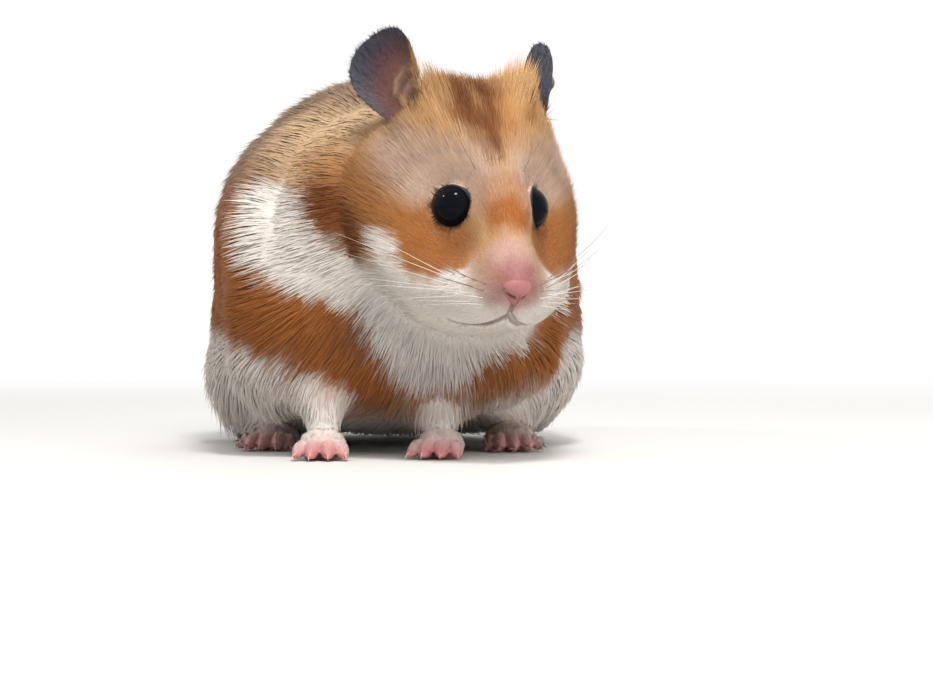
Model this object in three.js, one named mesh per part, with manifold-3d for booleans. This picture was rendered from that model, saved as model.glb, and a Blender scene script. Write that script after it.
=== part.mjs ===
// Syrian (golden) hamster, life-size and still: an adult crouched on all fours,
// facing -Y with its head turned to its own left and lowered.
// Millimetres, +Z up, standing on Z = 0. The solids reach to the tips of the coat.

import * as THREE from "three";
import { mergeVertices } from "three/addons/utils/BufferGeometryUtils.js";
import Module from "manifold-3d";

const wasm = await Module();
wasm.setup();

const V = (x, y, z) => new THREE.Vector3(x, y, z);
const DEG = Math.PI / 180;
const SIDES = { left: 1, right: -1 }; // the animal's own left is +X

// ---- driving dimensions ----------------------------------------------------

const GAP = 0.3; // left between neighbouring solids
const BODY_LENGTH = 92; // breast to rump
const BODY_HALF_WIDTH = 34;
const BACK_HEIGHT = 65;

const HEAD_AT = V(16.5, -4, 39.6); // midway between the eyes
const HEAD_YAW = 19 * DEG; // towards its own left
const HEAD_PITCH = 27 * DEG; // nose down
const HEAD_ROLL = 1 * DEG;

const EYE_RADIUS = 3.5;
const EYE_AT = V(5.9, -0.8, 0.2); // left eye, in the head's own frame
const EYE_OUTWARDS = 46 * DEG; // where it looks, from straight ahead
const EYE_UPWARDS = 20 * DEG;
const EYE_BARE = 2.1; // the coat stands back this far beyond the ball's middle
const NOSE_AT = V(0, -17.2, -5.2);
const NOSE_RADII = V(2.6, 1.9, 1.9);

const EAR_ROOT = V(10.4, 12.8, 9.8); // left ear, in the head's own frame
const EAR_LENGTH = 18;
const EAR_WIDTH = 13.2;
const EAR_THICKNESS = 1.1;
const EAR_CUP = 3;
const EAR_BURIED = 4; // how far the leaf runs on below its root
// lean: back from the head's own upright; splay: outwards; facing: of the hollow,
// from straight ahead towards the ear's own side
const EAR_POSE = {
  left: { lean: 68, splay: 6, facing: 78 },
  right: { lean: 43, splay: 21, facing: 54 },
};

const FOREPAW_AT = { left: V(8.6, 6, 0), right: V(-9.8, 3, 0) };
const FOREPAW_HEADING = { left: -12, right: -2 };
const HINDPAW_AT = { left: V(20.5, 28, 0), right: V(-20, 31, 0) };
const HINDPAW_HEADING = { left: 4, right: -10 };
const TAIL_LINE = [V(0, 86, 16), V(0.2, 91.5, 12), V(0.7, 95.5, 8.4)];

// ---- the head's own frame --------------------------------------------------

const headMatrix = new THREE.Matrix4()
  .makeTranslation(HEAD_AT.x, HEAD_AT.y, HEAD_AT.z)
  .multiply(new THREE.Matrix4().makeRotationZ(HEAD_YAW))
  .multiply(new THREE.Matrix4().makeRotationX(HEAD_PITCH))
  .multiply(new THREE.Matrix4().makeRotationY(HEAD_ROLL));
const onHead = (point) => point.clone().applyMatrix4(headMatrix);
const mirrored = (point, side) => V(point.x * side, point.y, point.z);

// ---- the soft outline: ellipsoids of flesh and fur, melted together ---------

const WORLD = new THREE.Matrix4();

// One ellipsoid. Its tilt turns it about X, and its turn about Z, in its own frame.
// A hollow one is scooped out of the others.
function lump(at, radii, options = {}) {
  const { frame = WORLD, tilt = 0, turn = 0, melt = 8, hollow = false } = options;
  const place = new THREE.Matrix4()
    .copy(frame)
    .multiply(new THREE.Matrix4().makeTranslation(at.x, at.y, at.z))
    .multiply(new THREE.Matrix4().makeRotationZ(turn * DEG))
    .multiply(new THREE.Matrix4().makeRotationX(tilt * DEG));
  return { inverse: place.invert(), radii, melt, hollow };
}

// The same ellipsoid on the left and on the right.
function pair(at, radii, { turn = 0, ...rest } = {}) {
  return [1, -1].map((side) =>
    lump(mirrored(at, side), radii, { turn: turn * side, ...rest }),
  );
}

const scratch = V(0, 0, 0);
function distanceTo(one, point) {
  const p = scratch.copy(point).applyMatrix4(one.inverse);
  const { x, y, z } = one.radii;
  const near = Math.hypot(p.x / x, p.y / y, p.z / z);
  const slope = Math.hypot(p.x / (x * x), p.y / (y * y), p.z / (z * z));
  return slope < 1e-9 ? -Math.min(x, y, z) : (near * (near - 1)) / slope;
}

// Signed distance to all the lumps melted together, less the hollow ones.
function outline(lumps, point) {
  let d = Infinity;
  for (const one of lumps) {
    const e = one.hollow ? -distanceTo(one, point) : distanceTo(one, point);
    const near = Math.max(one.melt - Math.abs(d - e), 0) / one.melt;
    const blend = (near * near * one.melt) / 4;
    if (one.hollow) d = Math.max(d, e) + blend;
    else d = Math.min(d, e) - blend;
  }
  return d;
}

const MID = 0.52 * BODY_LENGTH;
const trunkLumps = [
  lump(V(0.5, MID, 26), V(BODY_HALF_WIDTH - 4.8, 40, 25)), // belly and flanks
  lump(V(0.5, MID - 1, BACK_HEIGHT - 26.5), V(27, 33, 25), { melt: 14 }), // back
  lump(V(0.5, 0.72 * BODY_LENGTH, 27), V(28, 26, 26.5), { melt: 12 }), // rump
  lump(V(1, 20, 27), V(25, 19, 21), { melt: 12 }), // shoulders and breast
  ...pair(V(16, 14, 22), V(12, 12, 16), { melt: 9 }), // upper arms
  ...pair(V(20.5, 54, 18), V(13.5, 22, 19), { melt: 9 }), // thighs
  lump(V(0.5, 36, 14), V(19, 18, 10.5), { melt: 8 }), // low belly
  lump(V(0, 74, 12), V(18, 15, 13), { melt: 10 }), // seat
];

const neckLumps = [
  lump(V(5, 15, 41), V(20, 17, 16.6), { melt: 12 }), // nape
  lump(V(8, 5, 27), V(13, 9, 11), { melt: 10 }), // throat
];

// Where an eye looks, and the scoop in the face that bares it.
const SCOOP = 13;
function scoop(side) {
  const level = Math.cos(EYE_UPWARDS);
  const look = V(
    side * Math.sin(EYE_OUTWARDS) * level,
    -Math.cos(EYE_OUTWARDS) * level,
    Math.sin(EYE_UPWARDS),
  );
  const at = mirrored(EYE_AT, side).addScaledVector(look, EYE_BARE + SCOOP);
  return lump(at, V(SCOOP, SCOOP, SCOOP), inHead({ melt: 6, hollow: true }));
}

const inHead = (options) => ({ frame: headMatrix, ...options });
const headLumps = [
  lump(V(0, 11.2, 2.3), V(14, 13.5, 13), inHead({ melt: 8 })), // skull
  lump(V(0, -1, -1), V(8.6, 12, 9.6), inHead({ melt: 6, tilt: 14 })), // brow and bridge
  lump(V(0, -10, -5.4), V(5.4, 7.4, 5.6), inHead({ melt: 6, tilt: 12 })), // snout
  ...pair(V(4.6, -8.6, -8.6), V(5.4, 6.4, 4.8), inHead({ melt: 6 })), // whisker pads
  ...pair(V(9, 6.4, -5.8), V(7.9, 10.4, 9.4), inHead({ melt: 7, turn: 16 })), // cheeks
  ...pair(V(6.8, -1.5, -9.8), V(5.8, 8.6, 6), inHead({ melt: 7 })), // jowls
  lump(V(0, -7.2, -12.6), V(4.6, 6.2, 3.6), inHead({ melt: 4 })), // chin
  ...pair(V(6.2, 12, 10.8), V(3.6, 4.2, 5), inHead({ melt: 6, tilt: 38 })), // by the ears
  scoop(1),
  scoop(-1),
];

const animal = [...trunkLumps, ...neckLumps, ...headLumps];

// ---- meshes ----------------------------------------------------------------

// A closed skin seen from one point inside it: each vertex of a sphere is moved
// out along its own direction until it meets the outline.
function radialGeometry(centre, detail) {
  const FARTHEST = 160;
  const HALVINGS = 18;
  const sphere = new THREE.IcosahedronGeometry(1, detail);
  const position = sphere.getAttribute("position");
  const direction = V(0, 0, 0);
  const at = V(0, 0, 0);
  const place = (reach) => at.copy(centre).addScaledVector(direction, reach);
  for (let i = 0; i < position.count; i++) {
    direction.fromBufferAttribute(position, i).normalize();
    let inner = 0;
    let outer = 1;
    while (outer < FARTHEST && outline(animal, place(outer)) < 0) {
      inner = outer;
      outer += 1;
    }
    for (let n = 0; n < HALVINGS; n++) {
      const middle = (inner + outer) / 2;
      if (outline(animal, place(middle)) < 0) inner = middle;
      else outer = middle;
    }
    place((inner + outer) / 2);
    position.setXYZ(i, at.x, at.y, at.z);
  }
  return sphere;
}

// A round limb along a smooth curve, with its own radius at each point given.
// cap says how wide its rounded ends are, as shares of the radius from the tip in.
function limbGeometry(points, radii, options = {}) {
  const { sides = 8, rings = 3, cap = [0, 0.7], grow = 0 } = options;
  const curve = new THREE.CatmullRomCurve3(points, false, "centripetal");
  const frames = curve.computeFrenetFrames(rings, false);
  const spans = radii.length - 1;
  const radiusAt = (t) => {
    const n = Math.min(Math.floor(t * spans), spans - 1);
    return THREE.MathUtils.lerp(radii[n], radii[n + 1], t * spans - n) + grow;
  };
  const endSections = (t, frame, outward) =>
    cap.map((share) => ({
      centre: curve
        .getPointAt(t)
        .addScaledVector(
          frames.tangents[frame],
          outward * radiusAt(t) * Math.sqrt(1 - share * share),
        ),
      radius: radiusAt(t) * share,
      frame,
    }));
  const sections = endSections(0, 0, -1);
  for (let n = 0; n <= rings; n++) {
    const t = n / rings;
    sections.push({ centre: curve.getPointAt(t), radius: radiusAt(t), frame: n });
  }
  sections.push(...endSections(1, rings, 1).reverse());

  const vertices = [];
  for (const { centre, radius, frame } of sections)
    for (let s = 0; s < sides; s++) {
      const angle = (2 * Math.PI * s) / sides;
      const p = centre
        .clone()
        .addScaledVector(frames.normals[frame], radius * Math.cos(angle))
        .addScaledVector(frames.binormals[frame], radius * Math.sin(angle));
      vertices.push(p.x, p.y, p.z);
    }
  const faces = [];
  const last = sections.length - 1;
  for (let n = 0; n < last; n++)
    for (let s = 0; s < sides; s++) {
      const a = n * sides + s;
      const b = n * sides + ((s + 1) % sides);
      if (n > 0) faces.push(a, b, a + sides);
      if (n < last - 1) faces.push(b, b + sides, a + sides);
    }
  const geometry = new THREE.BufferGeometry();
  geometry.setAttribute("position", new THREE.Float32BufferAttribute(vertices, 3));
  geometry.setIndex(faces);
  return geometry;
}

function ellipsoidGeometry(radii, across, down) {
  return new THREE.SphereGeometry(1, across, down).scale(radii.x, radii.y, radii.z);
}

// A cupped leaf: a flat sphere whose rim is egg-shaped, broad at the top and curled
// forwards. It stands along +Z on its root, and its hollow faces -Y.
function earGeometry(grow = 0) {
  const leaf = new THREE.SphereGeometry(1, 18, 7);
  const position = leaf.getAttribute("position");
  const half = { wide: EAR_WIDTH / 2, tall: EAR_LENGTH / 2, thick: EAR_THICKNESS / 2 + grow };
  for (let i = 0; i < position.count; i++) {
    const across = position.getX(i) * (1 + grow / half.wide);
    const along = position.getZ(i) * (1 + grow / half.tall);
    const waist = 0.66 + 0.34 * THREE.MathUtils.smoothstep(along, -1.1, 0.2);
    const crown = 1 + 0.16 * Math.max(along, 0) ** 2;
    const rise = along + 0.24 * (1 - along * along);
    const reach = across * across + 0.6 * along * along;
    const curl = EAR_CUP * (0.2 - reach * (0.6 + 0.7 * across * across));
    const root = 1.1 * (1 - THREE.MathUtils.smoothstep(along, -0.9, 0.1));
    const y = curl + position.getY(i) * half.thick * (1 + root);
    position.setXYZ(i, across * half.wide * waist * crown, y, half.tall * (1 + rise));
  }
  return leaf;
}

// ---- solids ----------------------------------------------------------------

function solidOf(geometry, matrix = null) {
  const bare = geometry.clone();
  if (matrix) bare.applyMatrix4(matrix);
  bare.deleteAttribute("normal");
  bare.deleteAttribute("uv");
  const merged = mergeVertices(bare, 1e-4);
  return new wasm.Manifold(
    new wasm.Mesh({
      numProp: 3,
      vertProperties: merged.getAttribute("position").array,
      triVerts: new Uint32Array(merged.index.array),
    }),
  );
}

// The largest piece of a cut solid, without the crumbs of the cut.
function mainPiece(solid) {
  return solid.decompose().reduce((a, b) => (a.volume() > b.volume() ? a : b));
}

function geometryOf(solid) {
  const mesh = solid.getMesh();
  const geometry = new THREE.BufferGeometry();
  const position = new THREE.BufferAttribute(new Float32Array(mesh.vertProperties), 3);
  geometry.setAttribute("position", position);
  geometry.setIndex(new THREE.BufferAttribute(new Uint32Array(mesh.triVerts), 1));
  const flat = geometry.toNonIndexed();
  flat.computeVertexNormals();
  return flat;
}

// Everything on the side of a plane that its normal points to.
function halfSpace(point, normal, shift = 0) {
  const FAR = 400;
  const unit = normal.clone().normalize();
  const turn = new THREE.Quaternion().setFromUnitVectors(V(0, 0, 1), unit);
  const centre = point.clone().addScaledVector(unit, shift + FAR / 2);
  const matrix = new THREE.Matrix4().compose(centre, turn, V(1, 1, 1));
  return solidOf(new THREE.BoxGeometry(FAR, FAR, FAR), matrix);
}
const aboveFloor = halfSpace(V(0, 0, 0), V(0, 0, 1));

// An ellipsoid that takes in one part of the body.
function region(at, radii, frame, grow = 0) {
  const matrix = frame.clone().multiply(new THREE.Matrix4().makeTranslation(at.x, at.y, at.z));
  return solidOf(ellipsoidGeometry(radii.clone().addScalar(grow), 14, 9), matrix);
}
const headRegion = (grow = 0) => region(V(0, 0.5, 0), V(21, 25, 21), headMatrix, grow);
const armRegion = (side, grow = 0) =>
  region(V(side * 20, 14, 20), V(12, 11, 14), WORLD, grow);
const thighRegion = (side, grow = 0) =>
  region(V(side * 25, 53.5, 17), V(14, 21.5, 17), WORLD, grow);

// ---- trunk, neck and head --------------------------------------------------

const NECK_PLANE = { point: V(6, 13, 38), normal: V(0.22, -0.85, 0.48) };
const beforeNeckPlane = (shift) => halfSpace(NECK_PLANE.point, NECK_PLANE.normal, shift);

const body = solidOf(radialGeometry(V(0, 46, 30), 6))
  .subtract(beforeNeckPlane(-GAP / 2))
  .intersect(aboveFloor);
let trunk = body.subtract(headRegion(GAP));
let neck = solidOf(radialGeometry(V(9, 9, 38), 4))
  .intersect(beforeNeckPlane(GAP / 2))
  .subtract(headRegion(GAP));
let head = solidOf(radialGeometry(onHead(V(0, 0.5, -3)), 7)).intersect(headRegion());

// ---- ears, eyes and nose ---------------------------------------------------

function earSolid(name, grow = 0) {
  const root = mirrored(EAR_ROOT, SIDES[name]);
  const { lean, splay, facing } = EAR_POSE[name];
  const matrix = new THREE.Matrix4()
    .copy(headMatrix)
    .multiply(new THREE.Matrix4().makeTranslation(root.x, root.y, root.z))
    .multiply(new THREE.Matrix4().makeRotationX(-lean * DEG))
    .multiply(new THREE.Matrix4().makeRotationY(SIDES[name] * splay * DEG))
    .multiply(new THREE.Matrix4().makeRotationZ(SIDES[name] * facing * DEG))
    .multiply(new THREE.Matrix4().makeTranslation(0, 0, -EAR_BURIED));
  return solidOf(earGeometry(grow), matrix);
}

function eyeSolid(name, grow = 0) {
  const at = onHead(mirrored(EYE_AT, SIDES[name]));
  const ball = new THREE.IcosahedronGeometry(EYE_RADIUS + grow, 2);
  return solidOf(ball, new THREE.Matrix4().makeTranslation(at.x, at.y, at.z));
}

function noseSolid(grow = 0) {
  const pad = ellipsoidGeometry(NOSE_RADII.clone().addScalar(grow), 12, 6);
  const place = new THREE.Matrix4()
    .copy(headMatrix)
    .multiply(new THREE.Matrix4().makeTranslation(NOSE_AT.x, NOSE_AT.y, NOSE_AT.z))
    .multiply(new THREE.Matrix4().makeRotationX(-20 * DEG));
  return solidOf(pad, place);
}

head = head.subtract(noseSolid(GAP));
for (const name of Object.keys(SIDES)) {
  head = head.subtract(earSolid(name, GAP)).subtract(eyeSolid(name, GAP));
  neck = neck.subtract(earSolid(name, GAP));
}

// ---- paws ------------------------------------------------------------------

// One toe and its claw, from the knuckle forwards and down to the floor.
function toe(root, length, radius, spread) {
  const ahead = V(Math.sin(spread), -Math.cos(spread), 0);
  const point = (share, height) =>
    root.clone().addScaledVector(ahead, length * share).setZ(height);
  const line = [
    point(0, root.z),
    point(0.55, radius * 1.5),
    point(1, radius * 0.85),
    point(1.42, radius * 0.55),
  ];
  const widths = [radius, radius * 1.05, radius * 0.9, 0.3];
  return solidOf(limbGeometry(line, widths, { sides: 6, cap: [0] }));
}

const pawPlace = (at, heading) =>
  new THREE.Matrix4()
    .makeTranslation(at.x, at.y, at.z)
    .multiply(new THREE.Matrix4().makeRotationZ(heading * DEG));

function palmSolid(at, heading, palm, grow = 0) {
  const pad = ellipsoidGeometry(palm.clone().addScalar(grow), 10, 6);
  const lift = new THREE.Matrix4().makeTranslation(0, palm.y * 0.4, palm.z * 0.72);
  return solidOf(pad, pawPlace(at, heading).multiply(lift)).intersect(aboveFloor);
}

// A paw: a palm and a fan of toes. The angles are from straight ahead.
function pawSolid(at, heading, palm, toes) {
  let paw = palmSolid(at, heading, palm);
  for (const { out, angle, length, radius } of toes) {
    const digit = toe(V(out, -palm.y * 0.25, radius * 1.9), length, radius, angle * DEG);
    paw = paw.add(digit.transform(pawPlace(at, heading).elements));
  }
  return paw.intersect(aboveFloor);
}

const FORE_PALM = V(4, 3.6, 3);
const FORE_TOES = [
  { out: -3, angle: -14, length: 2.6, radius: 1.15 },
  { out: -1.05, angle: -4, length: 3.4, radius: 1.25 },
  { out: 1.05, angle: 5, length: 3.4, radius: 1.25 },
  { out: 3, angle: 16, length: 2.6, radius: 1.15 },
];
const HIND_PALM = V(4.3, 6.5, 3);
const HIND_TOES = [
  { out: -3.5, angle: -16, length: 2.4, radius: 1.05 },
  { out: -1.9, angle: -7, length: 3.8, radius: 1.2 },
  { out: 0, angle: 0, length: 4.2, radius: 1.25 },
  { out: 1.9, angle: 7, length: 3.8, radius: 1.2 },
  { out: 3.5, angle: 18, length: 2.4, radius: 1.05 },
];

// ---- legs ------------------------------------------------------------------

// The limbs below the coat's hem, from inside the body down into the paw.
function forearm(name, grow = 0) {
  const paw = FOREPAW_AT[name];
  const line = [
    V(paw.x + SIDES[name] * 3.5, paw.y + 8.5, 16),
    V(paw.x + SIDES[name] * 0.4, paw.y + 3.8, 8.5),
    V(paw.x, paw.y + 1.6, 3.6),
  ];
  return solidOf(limbGeometry(line, [6.2, 4, 3], { grow })).intersect(aboveFloor);
}

function shank(name, grow = 0) {
  const paw = HINDPAW_AT[name];
  const line = [
    V(SIDES[name] * 22, paw.y + 16, 14),
    V(paw.x + SIDES[name], paw.y + 8, 8),
    V(paw.x, paw.y + 4.5, 4.4),
  ];
  return solidOf(limbGeometry(line, [9, 6.4, 3.4], { grow })).intersect(aboveFloor);
}

const legs = {};
for (const [name, side] of Object.entries(SIDES)) {
  const fore = [FOREPAW_AT[name], FOREPAW_HEADING[name], FORE_PALM];
  const hind = [HINDPAW_AT[name], HINDPAW_HEADING[name], HIND_PALM];
  legs[`foreleg_${name}`] = body
    .intersect(armRegion(side))
    .add(forearm(name))
    .subtract(palmSolid(...fore, GAP))
    .subtract(headRegion(GAP));
  legs[`hindleg_${name}`] = body
    .intersect(thighRegion(side))
    .add(shank(name))
    .subtract(palmSolid(...hind, GAP));
  legs[`forepaw_${name}`] = pawSolid(...fore, FORE_TOES);
  legs[`hindpaw_${name}`] = pawSolid(...hind, HIND_TOES);
  trunk = trunk
    .subtract(armRegion(side, GAP))
    .subtract(thighRegion(side, GAP))
    .subtract(forearm(name, GAP))
    .subtract(shank(name, GAP))
    .subtract(palmSolid(...hind, GAP));
  neck = neck.subtract(armRegion(side, GAP)).subtract(forearm(name, GAP));
}

// ---- tail ------------------------------------------------------------------

const tailSolid = (grow = 0) => solidOf(limbGeometry(TAIL_LINE, [2.5, 2, 1.1], { grow }));
trunk = trunk.subtract(tailSolid(GAP));

// ---- finishes --------------------------------------------------------------

const finish = (color, roughness) =>
  new THREE.MeshStandardMaterial({ color, roughness, metalness: 0 });
const FINISH = {
  coat: finish(0xb5783f, 0.95),
  face: finish(0xb8713a, 0.95),
  pale: finish(0xd9cfc4, 0.95),
  ear: finish(0x54505c, 0.7),
  eye: finish(0x07070a, 0.05),
  nose: finish(0xc98783, 0.5),
  paw: finish(0xc98f90, 0.6),
};

// ---- the whole animal ------------------------------------------------------

const nodes = [
  ["trunk", trunk, FINISH.coat],
  ["neck", neck, FINISH.coat],
  ["head", head, FINISH.face],
  ["nose", noseSolid(), FINISH.nose],
  ["tail", tailSolid(), FINISH.paw],
  ...Object.keys(SIDES).flatMap((name) => [
    [`ear_${name}`, earSolid(name), FINISH.ear],
    [`eye_${name}`, eyeSolid(name), FINISH.eye],
    [`foreleg_${name}`, legs[`foreleg_${name}`], FINISH.pale],
    [`forepaw_${name}`, legs[`forepaw_${name}`], FINISH.paw],
    [`hindleg_${name}`, legs[`hindleg_${name}`], FINISH.coat],
    [`hindpaw_${name}`, legs[`hindpaw_${name}`], FINISH.paw],
  ]),
];

const hamster = new THREE.Group();
hamster.name = "syrian_hamster";
for (const [name, solid, material] of nodes) {
  const mesh = new THREE.Mesh(geometryOf(mainPiece(solid)), material);
  mesh.name = name;
  hamster.add(mesh);
}

// The origin is on the floor, under the middle of the whole.
const box = new THREE.Box3().setFromObject(hamster);
const middle = box.getCenter(V(0, 0, 0));
hamster.position.set(-middle.x, -middle.y, -box.min.z);

export default hamster;
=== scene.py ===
"""Syrian hamster: skin, coat, eyes, nose, whiskers and claws round its solid parts."""

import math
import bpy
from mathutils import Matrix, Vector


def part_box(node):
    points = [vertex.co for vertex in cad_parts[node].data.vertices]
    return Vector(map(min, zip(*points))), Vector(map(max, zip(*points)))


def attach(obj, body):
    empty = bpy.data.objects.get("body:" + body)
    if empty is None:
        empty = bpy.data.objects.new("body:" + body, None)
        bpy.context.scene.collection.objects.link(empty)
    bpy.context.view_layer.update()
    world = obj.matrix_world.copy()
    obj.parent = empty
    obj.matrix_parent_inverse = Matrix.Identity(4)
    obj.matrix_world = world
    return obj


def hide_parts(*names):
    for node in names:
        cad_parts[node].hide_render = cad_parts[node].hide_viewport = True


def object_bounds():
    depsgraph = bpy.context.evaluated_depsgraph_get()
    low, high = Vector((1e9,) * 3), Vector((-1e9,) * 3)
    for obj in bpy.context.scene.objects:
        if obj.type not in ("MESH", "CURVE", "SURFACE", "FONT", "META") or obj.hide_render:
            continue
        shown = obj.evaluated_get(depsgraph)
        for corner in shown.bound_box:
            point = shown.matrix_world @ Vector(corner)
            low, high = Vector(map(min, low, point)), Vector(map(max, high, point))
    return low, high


bl_info = {
    "name": "Syrian Hamster",
    "version": (1, 0, 0),
    "blender": (4, 5, 0),
    "location": "3D View > Sidebar > Hamster",
    "description": "Dresses the solids of a hamster in skin and fur",
    "category": "Object",
}

import bmesh
import bpy
import numpy as np
from bpy.props import FloatProperty, FloatVectorProperty, IntProperty, PointerProperty
from mathutils import Vector
from mathutils.bvhtree import BVHTree

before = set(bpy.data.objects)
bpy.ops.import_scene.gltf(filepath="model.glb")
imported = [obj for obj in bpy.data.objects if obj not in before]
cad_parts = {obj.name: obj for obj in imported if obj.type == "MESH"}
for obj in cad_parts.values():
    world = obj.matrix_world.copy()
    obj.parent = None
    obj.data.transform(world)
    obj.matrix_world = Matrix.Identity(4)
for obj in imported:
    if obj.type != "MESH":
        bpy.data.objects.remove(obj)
SOLID_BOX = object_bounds()
MM = 0.001
BODY = "root"
SIDES = {"left": 1, "right": -1}
LEGS = [f"{part}_{side}" for part in ("foreleg", "hindleg") for side in SIDES]
PAWS = [f"{part}_{side}" for part in ("forepaw", "hindpaw") for side in SIDES]
EARS = [f"ear_{side}" for side in SIDES]
REGIONS = ["trunk", "neck", "head", "tail", "leg", "paw", "ear"]


def srgb(red, green, blue):
    """A display colour, 0 to 255, as linear light."""
    shares = [c / 255 for c in (red, green, blue)]
    return tuple(c / 12.92 if c < 0.04045 else ((c + 0.055) / 1.055) ** 2.4 for c in shares)


# ---- settings ---------------------------------------------------------------


def swatch(name, description, *display):
    return FloatVectorProperty(
        name=name,
        description=description,
        subtype="COLOR",
        size=3,
        min=0,
        max=1,
        default=srgb(*display),
    )


class HamsterSkin(bpy.types.PropertyGroup):
    voxel: FloatProperty(
        name="Voxel",
        description="Grain at which the solids are melted into one body",
        default=0.7 * MM,
        unit="LENGTH",
    )
    paw_voxel: FloatProperty(
        name="Paw Voxel",
        description="Grain at which the paws are melted",
        default=0.24 * MM,
        unit="LENGTH",
    )
    lid_angle: FloatProperty(
        name="Lid Opening",
        description="Half angle that the lids leave open, seen from the eye's middle",
        default=math.radians(67),
        subtype="ANGLE",
    )
    lid_thickness: FloatProperty(
        name="Lid Thickness",
        description="How far the lids stand proud of the eye",
        default=0.16 * MM,
        unit="LENGTH",
    )
    mouth_depth: FloatProperty(
        name="Mouth Depth",
        description="Depth of the line between the lips",
        default=0.9 * MM,
        unit="LENGTH",
    )
    kept: FloatProperty(
        name="Kept Faces",
        description="Share of the skin's faces that stay once the coat is grown",
        default=0.68,
        subtype="FACTOR",
    )


class HamsterCoat(bpy.types.PropertyGroup):
    length: FloatProperty(name="Length", description="Length of every tuft, as a share", default=1)
    width: FloatProperty(name="Width", description="Width of every tuft, as a share", default=1)
    density: FloatProperty(name="Density", description="Number of tufts, as a share", default=1)
    disorder: FloatProperty(
        name="Disorder", description="How far tufts stray from the lie of the coat", default=0.08
    )
    clump: FloatProperty(
        name="Clumping", description="How strongly neighbouring tufts lean together", default=0.26
    )
    clump_size: FloatProperty(
        name="Clump Size",
        description="Distance between locks of the coat",
        default=3.2 * MM,
        unit="LENGTH",
    )
    sag: FloatProperty(
        name="Sag", description="How far the tips bend back to the body", default=0.22
    )
    softness: FloatProperty(
        name="Softness", description="How far a tuft shades like the body under it", default=0.84
    )
    patch: FloatProperty(
        name="Map Patch", description="Size of a tuft's patch on the skin's unwrap", default=0.003
    )
    seed: IntProperty(name="Seed", description="Fixes the scatter of the tufts", default=7)


class HamsterColours(bpy.types.PropertyGroup):
    tan: swatch("Tan", "Forehead and crown", 190, 146, 100)
    cream: swatch("Cream", "Nape", 210, 176, 138)
    rust: swatch("Rust", "Nose bridge", 162, 96, 44)
    cheek: swatch("Cheek", "Cheeks under the eyes", 154, 94, 44)
    pad: swatch("Whisker Pad", "Thin hair under the eyes and round the whiskers", 172, 134, 116)
    golden: swatch("Golden", "Sides of the head and neck", 158, 104, 56)
    # Also painted as highlight along the folds of the ears
    beige: swatch("Beige", "Brow and temples", 192, 162, 142)
    # Also painted as shade below the eyes
    stripe: swatch("Crown Stripe", "Dark stripe between the ears", 108, 62, 30)
    flash: swatch("Cheek Flash", "Dark flash behind the cheek", 114, 64, 30)
    white: swatch("White", "Muzzle, collar and wedge", 222, 213, 203)
    bib: swatch("Bib", "Grey-white breast", 204, 196, 190)
    belly: swatch("Belly", "Lower flanks, belly and legs", 208, 198, 190)
    flank: swatch("Flank", "Orange-brown sides and breast band", 150, 90, 44)
    back: swatch("Back", "Brown back", 140, 114, 92)
    # Also painted as shade on the breast between the forelegs
    ticking_and_shade: swatch("Ticking", "Dark tips on the back and grey roots", 84, 64, 50)
    ear: swatch("Ear", "Slate-grey rim and back of the ear", 50, 50, 60)
    ear_inside: swatch("Ear Inside", "Hollow of the ear", 118, 72, 58)
    paw: swatch("Paw", "Thinly haired top of the paws", 216, 200, 192)
    # At less than half its brightness it is painted shade between the toes
    toe: swatch("Toe", "Toes and soles", 190, 112, 112)
    snout: swatch("Snout", "Thinly haired top of the snout", 200, 162, 150)
    horn: swatch("Claws", "Claws", 206, 160, 146)
    # Also darkens the hollow of the ear; along the mouth it is partly painted shade in the crease,
    # and at half its brightness it is painted shade in the nostrils and the nose's cleft
    lip: swatch("Lip", "Line between the lips", 100, 58, 58)
    nose: swatch("Nose", "Nose pad", 158, 100, 97)
    lid: swatch("Lid", "Rims of the lids", 24, 18, 18)
    eye: swatch("Eye", "Eyeball", 5, 7, 14)


class HamsterStage(bpy.types.PropertyGroup):
    key: FloatProperty(name="Key Light", description="Large light, in watts", default=1.5)
    fill: FloatProperty(name="Fill Light", description="Second light, in watts", default=0.9)
    rim: FloatProperty(name="Rim Light", description="Light from behind, in watts", default=1.0)
    sparkle: FloatProperty(
        name="Sparkle", description="Small light that shows in the eyes, in watts", default=1.9
    )
    sky: FloatProperty(name="Sky", description="Strength of the light from all round", default=0.4)
    floor: swatch("Floor", "Pale floor", 214, 212, 208)


def settings(name):
    return getattr(bpy.context.scene, f"hamster_{name}")


# ---- numbers and places -----------------------------------------------------


def smooth_step(value, low, high):
    t = np.clip((value - low) / (high - low), 0, 1)
    return t * t * (3 - 2 * t)


def mixed(a, b, share):
    share = np.asarray(share)[..., None] if np.ndim(a) > np.ndim(share) else share
    return a + (b - a) * share


def unit(vectors):
    return vectors / np.maximum(np.linalg.norm(vectors, axis=-1, keepdims=True), 1e-12)


def centre(node):
    low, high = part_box(node)
    return np.array((low + high) / 2)


def ripple(points, size, seed):
    """A smooth, cheap noise from -1 to 1 with bumps of about that size."""
    draw = np.random.default_rng(seed)
    waves = draw.normal(size=(6, 3)) * (2.2 / size)
    phases = draw.uniform(0, 2 * math.pi, 6)
    return np.sin(points @ waves.T + phases).sum(axis=1) / 3.4


def both_sides(at):
    """The same places with the right side laid over the left."""
    return np.column_stack([np.abs(at[:, 0]), at[:, 1:]])


def border(share):
    """1 where a share is a half, falling to 0 where it is none or all."""
    return np.clip(4 * share * (1 - share), 0, 1)


def segment_distance(points, start, end):
    start, end = np.array(start, float), np.array(end, float)
    along = end - start
    share = np.clip((points - start) @ along / (along @ along), 0, 1)
    return np.linalg.norm(points - start - share[:, None] * along, axis=1)


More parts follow.
